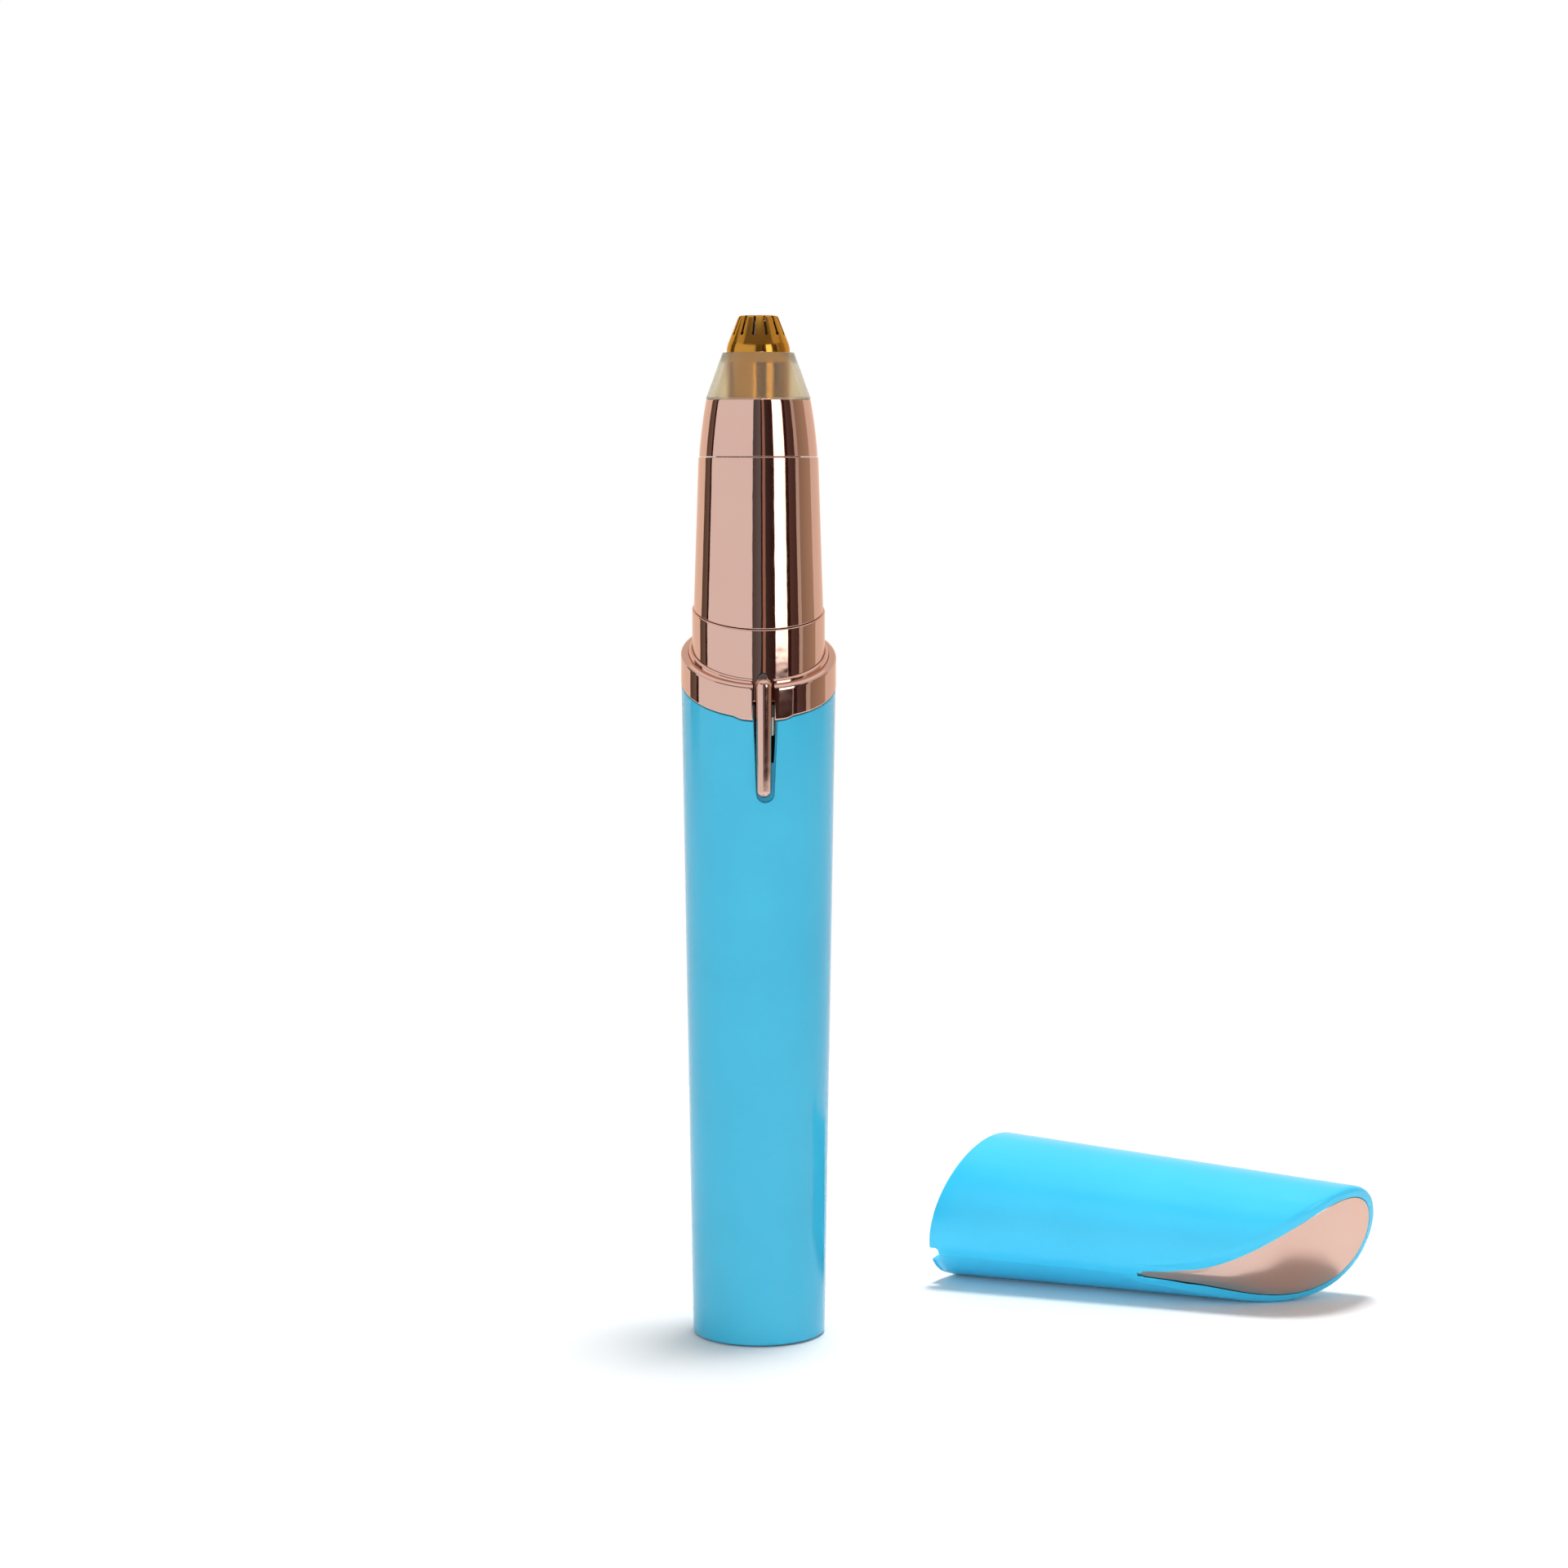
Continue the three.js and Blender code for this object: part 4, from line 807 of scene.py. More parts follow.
def switch_clip():
    """A tapered rod, flat behind and half round in front, with round ends."""
    top = clip_foot + CLIP_LENGTH
    foot_r, top_r = CLIP_FOOT_WIDTH / 2, CLIP_TOP_WIDTH / 2
    turns = spread(0, radians(CLIP_ROUND_END), CLIP_STEPS)
    half_round = spread(0, pi, 2 * CLIP_STEPS)
    lower = [(clip_foot + foot_r * (1 - sin(turn)), cos(turn)) for turn in reversed(turns)]
    upper = [(top - top_r * (1 - sin(turn)), cos(turn)) for turn in turns]
    loops = []
    for z, full in lower + upper:
        half = full * (foot_r + (top_r - foot_r) * (z - clip_foot) / CLIP_LENGTH)
        rise = CLIP_END_RISE + (1 - CLIP_END_RISE) * full
        middle = clip_back + (clip_front - clip_back) * rise - half
        face = [(half * cos(turn), -middle - half * sin(turn), z) for turn in half_round]
        loops.append([*face, (-half, -clip_back, z), (half, -clip_back, z)])
    dress(loft(loops), "switch_clip")


def switch_slider():
    """The grooved plate behind the clip, seen through the slot."""
    back, sunk = SLIDER_FACE - SLIDER_THICK, SLIDER_FACE - SLIDER_GROOVE
    groove_foot = SLIDER_FOOT + SLIDER_LIP
    groove_top = groove_foot + SLIDER_GROOVE
    top = SLIDER_FOOT + SLIDER_HEIGHT
    section = rounded([
        (back, SLIDER_FOOT, 0), (SLIDER_FACE, SLIDER_FOOT, FINE_EDGE),
        (SLIDER_FACE, groove_foot, FINE_EDGE), (sunk, groove_foot, 0),
        (sunk, groove_top, 0), (SLIDER_FACE, groove_top, FINE_EDGE),
        (SLIDER_FACE, top, FINE_EDGE), (back, top, 0),
    ])
    piece = loft([[(x, -y, z) for y, z in section] for x in (-SLIDER_LEFT, SLIDER_RIGHT)])
    finish(piece, "switch_slider", "switch", "white_plastic")


def head_radius(share):
    return HEAD_FOOT_R + (HEAD_TOP_R - HEAD_FOOT_R) * share + 4 * HEAD_BULGE * share * (1 - share)


def head_ring():
    lip_share = 1 - HEAD_LIP / HEAD_HEIGHT
    lip_bore = foil_flange_r - GAP
    shares = spread(0, 1, HEAD_STEPS)[1:-1]
    side = [(head_radius(share), head_foot + HEAD_HEIGHT * share, 0) for share in shares]
    dress(turned([
        (HEAD_FOOT_R, head_seam, FINE_EDGE), *side, (HEAD_TOP_R, head_top, RIM_EDGE),
        (lip_bore, head_top, HEAD_LIP_EDGE), (lip_bore, head_lip_foot, 0),
        (head_radius(lip_share) - HEAD_WALL, head_lip_foot, 0),
        (HEAD_FOOT_R - HEAD_WALL, head_seam, 0),
    ]), "head_ring")


def guard_cone():
    bore = FOIL_SKIRT_R + GAP
    seat = head_top + HAIRLINE / 2
    dress(turned([
        (GUARD_FOOT_R - GUARD_WALL, seat, GUARD_FOOT_EDGE), (GUARD_FOOT_R, seat, GUARD_FOOT_EDGE),
        (GUARD_TOP_R, guard_top, GUARD_TOP_EDGE), (bore, guard_top, FINE_EDGE),
        (bore, guard_top - GUARD_LAND, EDGE),
    ]), "guard_cone")


def foil_corners(inset, top_round):
    """The foil's shoulder and top edge, drawn in by a distance."""
    lean = (FOIL_SKIRT_R - FOIL_CONE_R) / FOIL_CONE
    top_r = FOIL_CONE_R - lean * FOIL_EDGE
    return [
        (FOIL_SKIRT_R - inset, foil_cone_foot - inset * FOIL_SHOULDER_DROP, FOIL_SHOULDER_ROUND),
        (top_r - inset, foil_top - inset, top_round),
    ]


def foil_slot(turn):
    """A cutter for one slot, round at its lower end, where it is a little wider."""
    half, hole = FOIL_SLOT_WIDTH / 2, FOIL_SLOT_HOLE_R
    middle = foil_top - FOIL_SLOT_DEPTH + hole
    start = -asin(half / hole)
    arc = spread(start, -start - tau, LONG_ARC)
    lower = [(hole * sin(angle), middle + hole * cos(angle)) for angle in arc]
    outline = [(-half, foil_top + BEYOND), *lower, (half, foil_top + BEYOND)]
    piece = bar(outline, FOIL_SLOT_INNER_R, FOIL_SKIRT_R + BEYOND)
    piece.data.transform(Matrix.Rotation(turn, 4, "Z"))
    return piece


def foil_cap():
    inner = FOIL_SKIRT_R - FOIL_WALL
    outside = foil_corners(0, FOIL_TOP_ROUND)
    inside = foil_corners(FOIL_WALL, FOIL_TOP_ROUND / 2)
    piece = turned([
        (inner, flange_foot, 0), (foil_flange_r, flange_foot, 0), (foil_flange_r, flange_top, 0),
        (FOIL_SKIRT_R, flange_top, 0), *outside, (0, foil_top, 0),
        (0, foil_top - FOIL_WALL, 0), *reversed(inside),
    ], FOIL_SLOTS * FOIL_SIDES)
    for i in range(FOIL_SLOTS):
        cut(piece, foil_slot(tau * (i + 0.5) / FOIL_SLOTS))
    dress(piece, "foil_cap")


# Inside

def heights(node):
    """Foot and top of a node, in millimetres."""
    return tuple(corner.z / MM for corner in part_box(node))


def bay_heights():
    """Floor and ceiling of the electronics bay, and the height of its cover's screw."""
    foot, top = heights("bay_cover")
    return foot - GAP, top + GAP, foot - GAP + BOSS_HEIGHT


def chassis_frame():
    """A round frame with a bay for the cell, a bay for the electronics and a flange at its top."""
    foot, top = heights("chassis_frame")
    floor_z, ceiling_z, screw_z = bay_heights()
    bay_foot, bay_top = foot + FRAME_END, floor_z - FRAME_END
    flange_r = barrel_outer(ceiling_z) - BARREL_WALL - GAP
    beyond = FRAME_R * 2
    half_stem = STEM_WIDTH / 2 + GAP
    half_strip = STRIP_WIDTH / 2 + FIT
    strip_bed = FRAME_R - CONTACT_THICK - FIT
    strip_top = heights("contact_strip")[1] + FIT
    piece = turned([
        (0, foot, 0), (FRAME_R, foot, FRAME_EDGE), (FRAME_R, ceiling_z, 0),
        (flange_r, ceiling_z, FRAME_EDGE), (flange_r, top, FRAME_EDGE), (0, top, 0),
    ])
    cut(piece, tube(0, CELL_R + GAP, bay_foot, bay_top))
    cut(piece, block((-beyond, -beyond, bay_foot), (beyond, -BAY_MOUTH, bay_top)))
    cut(piece, tube(0, BAY_R, floor_z, ceiling_z))
    cut(piece, block((-beyond, -beyond, floor_z), (beyond, GAP - COVER_BACK, ceiling_z)))
    cut(piece, tube(0, FRAME_HEAD_BORE, ceiling_z - GAP, top + GAP))
    cut(piece, block((-half_stem, -beyond, ceiling_z - GAP), (half_stem, 0, top + GAP)))
    cut(piece, block((-half_strip, strip_bed, bay_foot), (half_strip, beyond, strip_top)))
    join(piece, pin(BOSS_R, -BAY_R - FIT, 0, screw_z))
    cut(piece, pin(SCREW_R + FIT, -SCREW_LENGTH / 2, beyond, screw_z))
    dress(piece, "chassis_frame")


def bay_cover():
    """A half shell over the electronics bay, with a window for the switch and a boss for its screw."""
    foot, top = heights("bay_cover")
    screw_z = bay_heights()[2]
    beyond = FRAME_R * 2
    half_window = WINDOW_WIDTH / 2
    walls = [(FRAME_R, screw_z + BOSS_R, 0), (FRAME_R, slot_foot - GAP, 0)]
    piece = turned([
        (BAY_R, foot, 0), (FRAME_R, foot, EDGE), *walls, (FRAME_R, top, EDGE), (BAY_R, top, 0),
    ])
    cut(piece, block((-beyond, -COVER_BACK, foot - GAP), (beyond, beyond, top + GAP)))
    cut(piece, block((-half_window, -beyond, slot_foot), (half_window, 0, top + GAP)))
    join(piece, pin(BOSS_R, GAP, FRAME_R - FIT, screw_z))
    cut(piece, pin(SCREW_R + FIT, 0, beyond, screw_z))
    dress(piece, "bay_cover")


def cover_screw():
    """A screw with a rounded head and a cross in it."""
    height = bay_heights()[2]
    seat = FRAME_R + FIT
    face = seat + SCREW_HEAD
    lower = (SCREW_R, seat - SCREW_LENGTH), (SCREW_R, seat), (SCREW_HEAD_R, seat)
    loops = [circle(radius, depth, height) for radius, depth in lower]
    for turn in spread(0, pi / 2, ARC):
        drawn_in, sunk = SCREW_EDGE * (1 - cos(turn)), SCREW_EDGE * (1 - sin(turn))
        loops.append(circle(SCREW_HEAD_R - drawn_in, face - sunk, height))
    piece = loft(loops)
    arm, half = SCREW_CROSS / 2, SCREW_CROSS_WIDTH / 2
    for wide, high in ((arm, half), (half, arm)):
        low = (-wide, -face - GAP, height - high)
        cut(piece, block(low, (wide, SCREW_CROSS_DEPTH - face, height + high)))
    dress(piece, "cover_screw")


def battery_cell():
    """A jacket turned in over bare metal ends, with a band at the positive one, which is up."""
    foot, top = heights("battery_cell")
    shoulder = top - CELL_NUB
    lower, upper = foot + CELL_SINK, shoulder - CELL_SINK
    dress(turned([
        (0, lower, 0), (CELL_FACE_R, lower, 0), (CELL_FACE_R, foot, CELL_LIP_EDGE),
        (CELL_R, foot, WIDE_EDGE), (CELL_R, shoulder, CELL_TOP_EDGE),
        (CELL_FACE_R, shoulder, CELL_LIP_EDGE), (CELL_FACE_R, upper, 0), (0, upper, 0),
    ]), "battery_cell")
    band_top = shoulder - CELL_BAND_DROP
    band_foot = band_top - CELL_BAND
    band = tube(CELL_R - CELL_BAND_BED, CELL_R + CELL_BAND_RISE, band_foot, band_top)
    finish(band, "cell_band", "chassis", "copper")
    metal_r = CELL_FACE_R - METAL_GAP
    plate = tube(0, metal_r, foot + METAL_SEAT, lower + METAL_SEAT, METAL_EDGE, METAL_EDGE)
    finish(plate, "cell_foot", "chassis", "nickel")
    seat, face = upper - METAL_SEAT, upper + METAL_RISE
    finish(turned([
        (0, seat, 0), (metal_r, seat, 0), (metal_r, face, METAL_EDGE),
        (CELL_NUB_R, face, NUB_FOOT_ROUND), (CELL_NUB_R, top, NUB_EDGE), (0, top, 0),
    ]), "cell_nub", "chassis", "nickel")


def coil(node, radius, wire, turns):
    """A coil spring of round wire."""
    foot, top = heights(node)
    low, high = foot + wire, top - wire
    up = Vector((0, 0, 1))
    loops = []
    for share in spread(0, 1, turns * COIL_STEPS):
        turn = tau * turns * share
        out = Vector((cos(turn), sin(turn), 0))
        middle = out * radius + up * (low + (high - low) * share)
        sides = all_round(WIRE_SIDES)
        loops.append([middle + (out * cos(angle) + up * sin(angle)) * wire for angle in sides])
    dress(loft(loops), node)


def contact_strip():
    foot, top = heights("contact_strip")
    half = STRIP_WIDTH / 2
    piece = block((-half, FRAME_R - CONTACT_THICK, foot), (half, FRAME_R, top))
    soften(piece, STRIP_EDGE)
    dress(piece, "contact_strip")


def head_frame():
    """The head's plug, with a web that holds the spindle's bush."""
    foot, top = heights("head_frame")
    seat_r = HEAD_TOP_R - HEAD_WALL - GAP
    plug_r = SLEEVE_TOP_R - SLEEVE_WALL - GAP
    bush_r = SPINDLE_R + FIT + BUSH_WALL
    bore, web_foot, web_top = bush_r + FIT, foot + WEB_RISE, foot + WEB_RISE + WEB_THICK
    dress(turned([
        (bore, web_foot, 0), (plug_r - PLUG_WALL, web_foot, 0), (plug_r - PLUG_WALL, foot, EDGE),
        (plug_r, foot, EDGE), (plug_r, sleeve_top, 0), (seat_r, sleeve_top, 0), (seat_r, top, EDGE),
        (seat_r - PLUG_WALL, top, EDGE), (seat_r - PLUG_WALL, web_top, 0), (bore, web_top, 0),
    ]), "head_frame")
    dress(tube(SPINDLE_R + FIT, bush_r, web_foot - FIT, web_top + FIT), "spindle_bush")


def motor_end():
    """What shows of the motor at the sleeve's mouth: its can, its bearing and its coupling."""
    foot, top = heights("motor_can")
    inner, bore, lid = MOTOR_R - MOTOR_WALL, BEARING_R + FIT, top - MOTOR_WALL
    dress(turned([
        (inner, foot, 0), (MOTOR_R, foot, 0), (MOTOR_R, top, WIDE_EDGE),
        (bore, top, 0), (bore, lid, 0), (inner, lid, 0),
    ]), "motor_can")
    bore = SHAFT_R + FIT
    dress(tube(bore, BEARING_R, *heights("motor_bearing"), top_edge=EDGE), "motor_bearing")
    foot, top = heights("drive_coupling")
    coupling = tube(bore, COUPLING_R, foot, top, EDGE, EDGE)
    half, beyond = COUPLING_SLOT / 2, COUPLING_R * 2
    cut(coupling, block((-half, -beyond, top - COUPLING_SOCKET), (half, beyond, top + GAP)))
    dress(coupling, "drive_coupling")


def base_pad():
    dress(tube(0, BASE_PAD_R, *heights("base_pad"), EDGE, EDGE), "base_pad")


# Cap

def cap_radius(height):
    return CAP_RIM_R - height * slope(CAP_TAPER)


def slant_line(depth):
    """The cap's slanted end from the side, sunk by a depth: distances behind the axis, and heights."""
    side = cap_radius(SLANT_TAIL)
    end = CAP_LENGTH - SLANT_END_DROP
    hold = np.array([
        (SLANT_TAIL_DEPTH - side, SLANT_TAIL), (SLANT_STEEP_DEPTH - side, SLANT_TAIL + SLANT_STEEP),
        (SLANT_TURN_DEPTH - side, end - SLANT_TURN), (cap_radius(end) - INLAY_INSET, end),
    ])
    t = np.linspace(0, 1, SLANT_STEPS)[:, None]
    weights = np.hstack([(1 - t) ** 3, 3 * t * (1 - t) ** 2, 3 * t ** 2 * (1 - t), t ** 3])
    curve = weights @ hold
    lead = curve[0] - (2 * CAP_WALL, 3 * CAP_WALL)  # runs out of the cap's side
    rise = (curve[-1] - curve[-2]) / np.linalg.norm(curve[-1] - curve[-2])
    path = np.vstack([lead, curve, curve[-1] + rise * CAP_RIM_R])
    along = np.gradient(path, axis=0)
    along /= np.linalg.norm(along, axis=1)[:, None]
    return path[:, 0] + along[:, 1] * depth, path[:, 1] - along[:, 0] * depth


def meet(line, inset, angle):
    """Where the slanted end meets the cap's cone, drawn in by an inset, at an angle."""
    behind, height = line
    insets = inset(height) if callable(inset) else inset
    radius = cap_radius(height) - insets
    short = behind + radius * cos(angle)
    return float(np.interp(0, short, radius)), float(np.interp(0, short, height))


def across(line, angle, radii):
    """Points of the slanted end on the way to the axis at an angle."""
    return [(radius, float(np.interp(-radius * cos(angle), *line))) for radius in radii]


def crowned(line, angle, radii):
    """Points of the slanted end that swell a little in the middle."""
    behind, height = line
    steep = np.hypot(1, np.gradient(height) / np.gradient(behind))
    points = []
    for radius, z in across(line, angle, radii):
        back = -radius * cos(angle)
        half = sqrt(max((cap_radius(z) - border_width(z)) ** 2 - back ** 2, MERGE ** 2))
        swell = max(1 - (radius * sin(angle) / half) ** 2, 0)
        crown = float(np.interp(z, INLAY_CROWN_PLACES, INLAY_CROWNS))
        points.append((radius, z + crown * half * swell * float(np.interp(back, behind, steep))))
    return points


def border_width(height):
    """Width of the border round the inlay."""
    places = SLANT_TAIL + np.array([0, INLAY_NECK, INLAY_FLARE, INLAY_FULL])
    return np.interp(height, places, [INLAY_TAIL_INSET, INLAY_NECK_INSET, INLAY_FLARE_INSET, INLAY_INSET])


def mouth_height(inset, angle):
    """Height of the cap's slanted mouth, which is lowest at the front."""
    tilt = slope(COLLAR_TILT)
    lean = tilt * slope(CAP_TAPER) * cos(angle)
    return tilt * (CAP_RIM_R - (CAP_RIM_R - inset) * cos(angle)) / (1 - lean)


def cap_angles():
    """Angles round the cap, closer together at the front, where the inlay's tail is slim."""
    shares = [2 * i / CAP_ROUND - 1 for i in range(CAP_ROUND)]
    return [pi * copysign(abs(share) ** CAP_CROWDING, share) for share in shares]


def bend(start, corner, end, steps=ARC):
    """A curve from start to end that turns at a corner."""
    curve = []
    for t in spread(0, 1, steps):
        weights = (1 - t) ** 2, 2 * t * (1 - t), t ** 2
        curve.append(tuple(sum(w * p[i] for w, p in zip(weights, (start, corner, end))) for i in (0, 1)))
    return curve


def crease(height, angle):
    """How far the cap's side lies below its cone, under the crease along its front."""
    share = min(max(degrees(angle) / CREASE_SPAN, 0), 1)
    fade = min(max((SLANT_TAIL + CREASE_FADE / 2 - height) / CREASE_FADE, 0), 1)
    fall = 27 / 4 * share * (1 - share) ** 2  # 1 where it is deepest
    return CREASE_FALL * fall * fade


def cap_shell():
    face = slant_line(0)
    bed = slant_line(INLAY_THICK + FIT)
    ceiling = slant_line(INLAY_THICK + CAP_END_WALL)

    def section(angle):
        rim = mouth_height(0, angle)
        inner_rim = mouth_height(CAP_WALL, angle)
        bore, wall = cap_radius(inner_rim) - CAP_WALL, cap_radius(rim)
        corner = meet(face, 0, angle)
        pocket = meet(face, border_width, angle)
        sunk = meet(bed, border_width, angle)
        top = meet(ceiling, CAP_WALL, angle)
        strip = dist(corner, pocket)
        reach = min(BORDER_ROUND, BORDER_SHARE * strip)
        below = (cap_radius(corner[1] - reach), corner[1] - reach)
        beside = tuple(c + (p - c) * reach / strip for c, p in zip(corner, pocket))
        side = spread(rim + RIM_ROUND, below[1], CAP_STEPS)[:-1]
        return [
            *[(bore + way, inner_rim + rise) for way, rise in RIM_INSIDE],
            *[(wall - way, rim + rise) for way, rise in RIM_OUTSIDE],
            *[(cap_radius(z) - crease(z, angle), z) for z in side],
            *bend(below, corner, beside), pocket, sunk,
            *across(bed, angle, spread(sunk[0], 0, CAP_STEPS)[1:]),
            *across(ceiling, angle, spread(0, top[0], CAP_STEPS)),
        ]

    piece = ring(section, cap_angles())
    half, inner = NOTCH_WIDTH / 2, NOTCH_WIDTH / 2 - NOTCH_CORNER
    corner = NOTCH_DEPTH - NOTCH_CORNER
    outline = [
        (-half, -CAP_RIM_R), (half, -CAP_RIM_R), (half, corner),
        (inner, NOTCH_DEPTH), (-inner, NOTCH_DEPTH), (-half, corner),
    ]
    cut(piece, bar(outline, CAP_RIM_R / 2, CAP_RIM_R * 2))
    half = TAIL_GAP / 2
    low = (-half, -CAP_RIM_R, SLANT_TAIL - TAIL_GAP)
    high = (half, INLAY_THICK - cap_radius(SLANT_TAIL), SLANT_TAIL + TAIL_GAP)
    cut(piece, block(low, high))
    dress(piece, "cap_shell", CAP)


def cap_inlay():
    face = slant_line(0)
    back = slant_line(INLAY_THICK)

    def inset(height):
        return border_width(height) + INLAY_GAP

    def section(angle):
        edge = meet(face, inset, angle)
        foot = meet(back, inset, angle)
        inner = edge[0] - min(INLAY_EDGE, edge[0] / 4)
        side = tuple(e + (f - e) * INLAY_EDGE_SHARE for e, f in zip(edge, foot))
        return [
            *across(back, angle, spread(0, foot[0], CAP_STEPS)),
            *bend(side, edge, across(face, angle, [inner])[0], ARC // 2),
            *crowned(face, angle, spread(inner, 0, CAP_STEPS)[1:]),
        ]

    dress(ring(section, cap_angles()), "cap_inlay", CAP)


def dress_solids():
    """Gives each solid that still shows its look."""
    for node, slot in node_slots.items():
        for place in frame["nodes"][node].material_slots:
            place.material = looks[slot]


# Studio

FLOOR_SIDE = 40.0
WHITE = (1, 1, 1, 1)
LIGHT_TARGET = (0.03, 0.02, 0.03)
CARD_DISTANCE = 0.7
CARD_HEIGHT = 0.1  # that the cards' elevations are measured from
CARD_STEPS = 24
FLAG_FOOT = -12  # lowest and highest elevation of the cards, in degrees
FLAG_TOP = 30
STRIP_FOOT = -4.7
CEILING_TOP = 50
FLOOR_NEAR = 0.16  # metres from the trimmer up to which the floor is lit
FLOOR_FAR = 0.26  # and from which it is plain white
SKY_LOW = 0.3  # strength of the sky's light at the horizon and overhead
SKY_HIGH = 0.6


def card(name, bearings, rises, left_colour, right_colour=None):
    """A curved card between two bearings from the camera's side, seen in gloss and through clear pieces."""
    facing = radians(CAMERA_HEADING)
    points, colours = [], []
    for share, bearing in zip(spread(0, 1, CARD_STEPS), spread(*bearings, CARD_STEPS)):
        turn = facing + radians(bearing)
        x, y = CARD_DISTANCE * sin(turn), -CARD_DISTANCE * cos(turn)
        points += [(x, y, CARD_HEIGHT + CARD_DISTANCE * slope(rise)) for rise in rises]
        colour = [a + (b - a) * share for a, b in zip(left_colour, right_colour or left_colour)]
        colours += [*colour, 1.0] * 2
    faces = [(i, i + 2, i + 3, i + 1) for i in range(0, 2 * CARD_STEPS, 2)]
    mesh = bpy.data.meshes.new(name)
    mesh.from_pydata(points, [], faces)
    mesh.color_attributes.new("glow", "FLOAT_COLOR", "POINT").data.foreach_set("color", colours)
    mesh.materials.append(card_look)
    panel = placed(name, mesh)
    panel.visible_camera = False
    panel.visible_diffuse = False
    panel.visible_shadow = False


def glow():
    """The look of the cards, which shine in their own colours."""
    look = bpy.data.materials.new("card")
    look.use_nodes = True
    tree = look.node_tree
    tree.nodes.clear()
    colour = new_node(tree, "VertexColor", {})
    colour.layer_name = "glow"
    light = new_node(tree, "Emission", {"Color": colour.outputs["Color"]})
    new_node(tree, "OutputMaterial", {"Surface": light.outputs["Emission"]})
    return look


card_look = glow()


def cards():
    """Flags and a bright strip round the object, which give the plated pieces their bands."""
    black = (0.04, 0.012, 0.01)
    flag = FLAG_FOOT, FLAG_TOP
    ceiling = FLAG_TOP, CEILING_TOP
    card("left_flag", (-121, -104), flag, (0.14, 0.09, 0.06), (0.2, 0.17, 0.14))
    card("left_flag_edge", (-104, -99), flag, black)
    card("camera_side", (-10.5, 5), flag, (0.11, 0.09, 0.09), (0.17, 0.18, 0.185))
    card("camera_edge", (5, 8), flag, black)
    card("copper_line", (8, 13), flag, (0.42, 0.26, 0.2), (0.38, 0.22, 0.16))
    card("camera_flag", (13, 30), flag, (0.06, 0.045, 0.04), black)
    card("strip", (30, 52), (STRIP_FOOT, FLAG_TOP), (3.0, 3.0, 3.0), (2.7, 2.7, 2.5))
    card("strip_shade", (30, 52), (FLAG_FOOT, STRIP_FOOT), (0.06, 0.03, 0.025), black)
    card("strip_edge", (52.5, 59), flag, black)
    card("right_flag", (59, 75), flag, (0.12, 0.075, 0.062), (0.09, 0.045, 0.037))
    card("right_line", (75, 83), flag, (0.6, 0.54, 0.46))
    card("right_wall", (83, 117), flag, (0.36, 0.26, 0.19), (0.54, 0.42, 0.3))
    card("left_wall", (-180, -121), flag, (1.0, 0.95, 0.9), (1.0, 0.92, 0.82))
    card("far_wall", (117, 180), flag, (0.9, 0.8, 0.72), (1.0, 0.95, 0.9))
    card("ceiling", (-65, 65), ceiling, (0.26, 0.235, 0.26))
    card("ceiling_side", (65, 295), ceiling, (0.8, 0.72, 0.66))


def floor():
    """A white floor that takes the object's shadow, and that is plain white further off."""
    half = FLOOR_SIDE / 2
    mesh = bpy.data.meshes.new("floor")
    corners = [(-half, -half, 0), (half, -half, 0), (half, half, 0), (-half, half, 0)]
    mesh.from_pydata(corners, [], [(0, 1, 2, 3)])
    look, tree, inputs = new_look("floor")
    drift = tinted(tree, noise(tree, cells=4), (0.93, 0.93, 0.93), (0.94, 0.94, 0.94))
    tree.links.new(drift, inputs["Base Color"])
    inputs["Roughness"].default_value = 0.6
    inputs["Specular IOR Level"].default_value = 0.2
    away = new_node(tree, "VectorMath", {0: new_node(tree, "TexCoord", {}).outputs["Object"]})
    away.operation = "LENGTH"
    span = {"From Min": FLOOR_NEAR, "From Max": FLOOR_FAR}
    far = new_node(tree, "MapRange", {"Value": away.outputs["Value"], **span}).outputs["Result"]
    near_look = tree.nodes["Principled BSDF"].outputs["BSDF"]
    far_look = new_node(tree, "Emission", {"Color": WHITE}).outputs["Emission"]
    mix = new_node(tree, "MixShader", {"Fac": far, 1: near_look, 2: far_look})
    tree.links.new(mix.outputs["Shader"], tree.nodes["Material Output"].inputs["Surface"])
    mesh.materials.append(look)
    placed("floor", mesh)


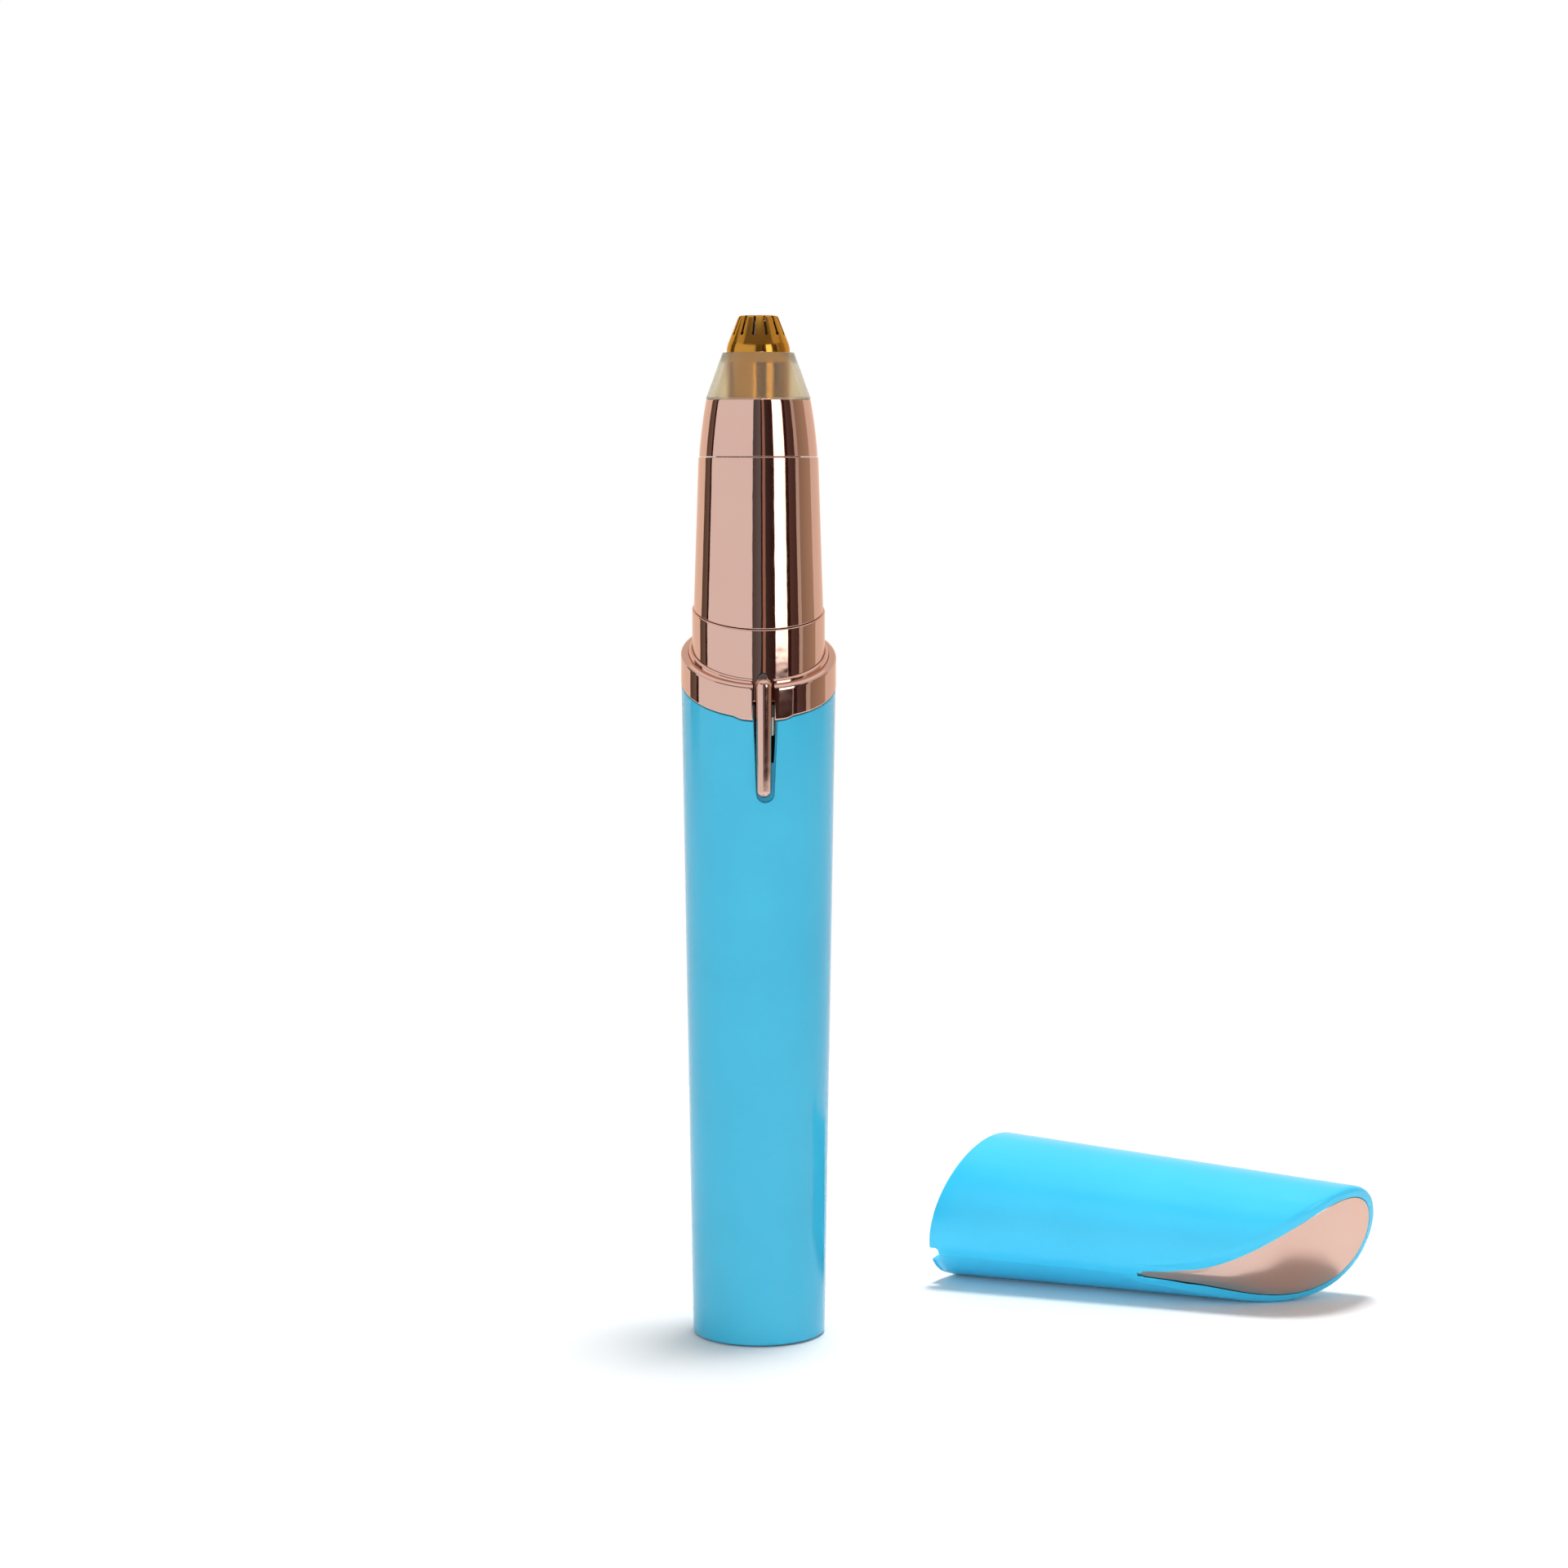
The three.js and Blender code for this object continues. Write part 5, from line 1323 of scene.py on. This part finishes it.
def sky():
    """White where it is seen, and elsewhere a light that grows from the horizon up."""
    world = bpy.data.worlds.new("studio")
    world.use_nodes = True
    tree = world.node_tree
    tree.nodes.clear()
    path = new_node(tree, "LightPath", {})
    seen = path.outputs["Is Camera Ray"]
    for ray in ("Is Glossy Ray", "Is Transmission Ray"):
        either = new_node(tree, "Math", {0: seen, 1: path.outputs[ray]})
        either.operation = "MAXIMUM"
        seen = either.outputs["Value"]
    place = new_node(tree, "TexCoord", {}).outputs["Generated"]
    up = new_node(tree, "SeparateXYZ", {"Vector": place}).outputs["Z"]
    rise = new_node(tree, "MapRange", {"Value": up, "To Min": SKY_LOW, "To Max": SKY_HIGH})
    ambient, plain = (
        new_node(tree, "Background", {"Color": WHITE, "Strength": strength}).outputs["Background"]
        for strength in (rise.outputs["Result"], 1.0)
    )
    mix = new_node(tree, "MixShader", {"Fac": seen, 1: ambient, 2: plain})
    new_node(tree, "OutputWorld", {"Surface": mix.outputs["Shader"]})
    bpy.context.scene.world = world


def soft_box(name, place, side, watts):
    """A square lamp that looks at the object, and that shiny pieces don't mirror."""
    lamp = bpy.data.lights.new(name, "AREA")
    lamp.size = side
    lamp.energy = watts
    box = placed(name, lamp)
    box.location = place
    box.rotation_euler = (Vector(LIGHT_TARGET) - Vector(place)).to_track_quat("-Z", "Y").to_euler()
    box.visible_glossy = False


def camera():
    eye = placed("camera", bpy.data.cameras.new("camera"))
    eye.data.lens = CAMERA_LENS
    eye.location = Vector(CAMERA_PLACE) * MM
    eye.rotation_euler = (radians(90 - CAMERA_PITCH), 0, radians(CAMERA_HEADING))
    bpy.context.scene.camera = eye


camera()
dress_solids()
barrel_shell()
collar_ring()
neck_ring()
upper_sleeve()
light_lens()
switch_clip()
switch_slider()
head_ring()
guard_cone()
foil_cap()
base_pad()
chassis_frame()
bay_cover()
cover_screw()
battery_cell()
coil("negative_spring", SPRING_R, SPRING_WIRE, SPRING_TURNS)
coil("cutter_spring", CUTTER_SPRING_R, CUTTER_SPRING_WIRE, CUTTER_SPRING_TURNS)
contact_strip()
head_frame()
motor_end()
cap_shell()
cap_inlay()
floor()
sky()
soft_box("key", (0.05, 0.11, 1.0), side=0.22, watts=7.0)
soft_box("fill", (0.35, -1.1, 0.22), side=0.4, watts=3.75)
cards()
bpy.context.scene.view_settings.view_transform = "Standard"
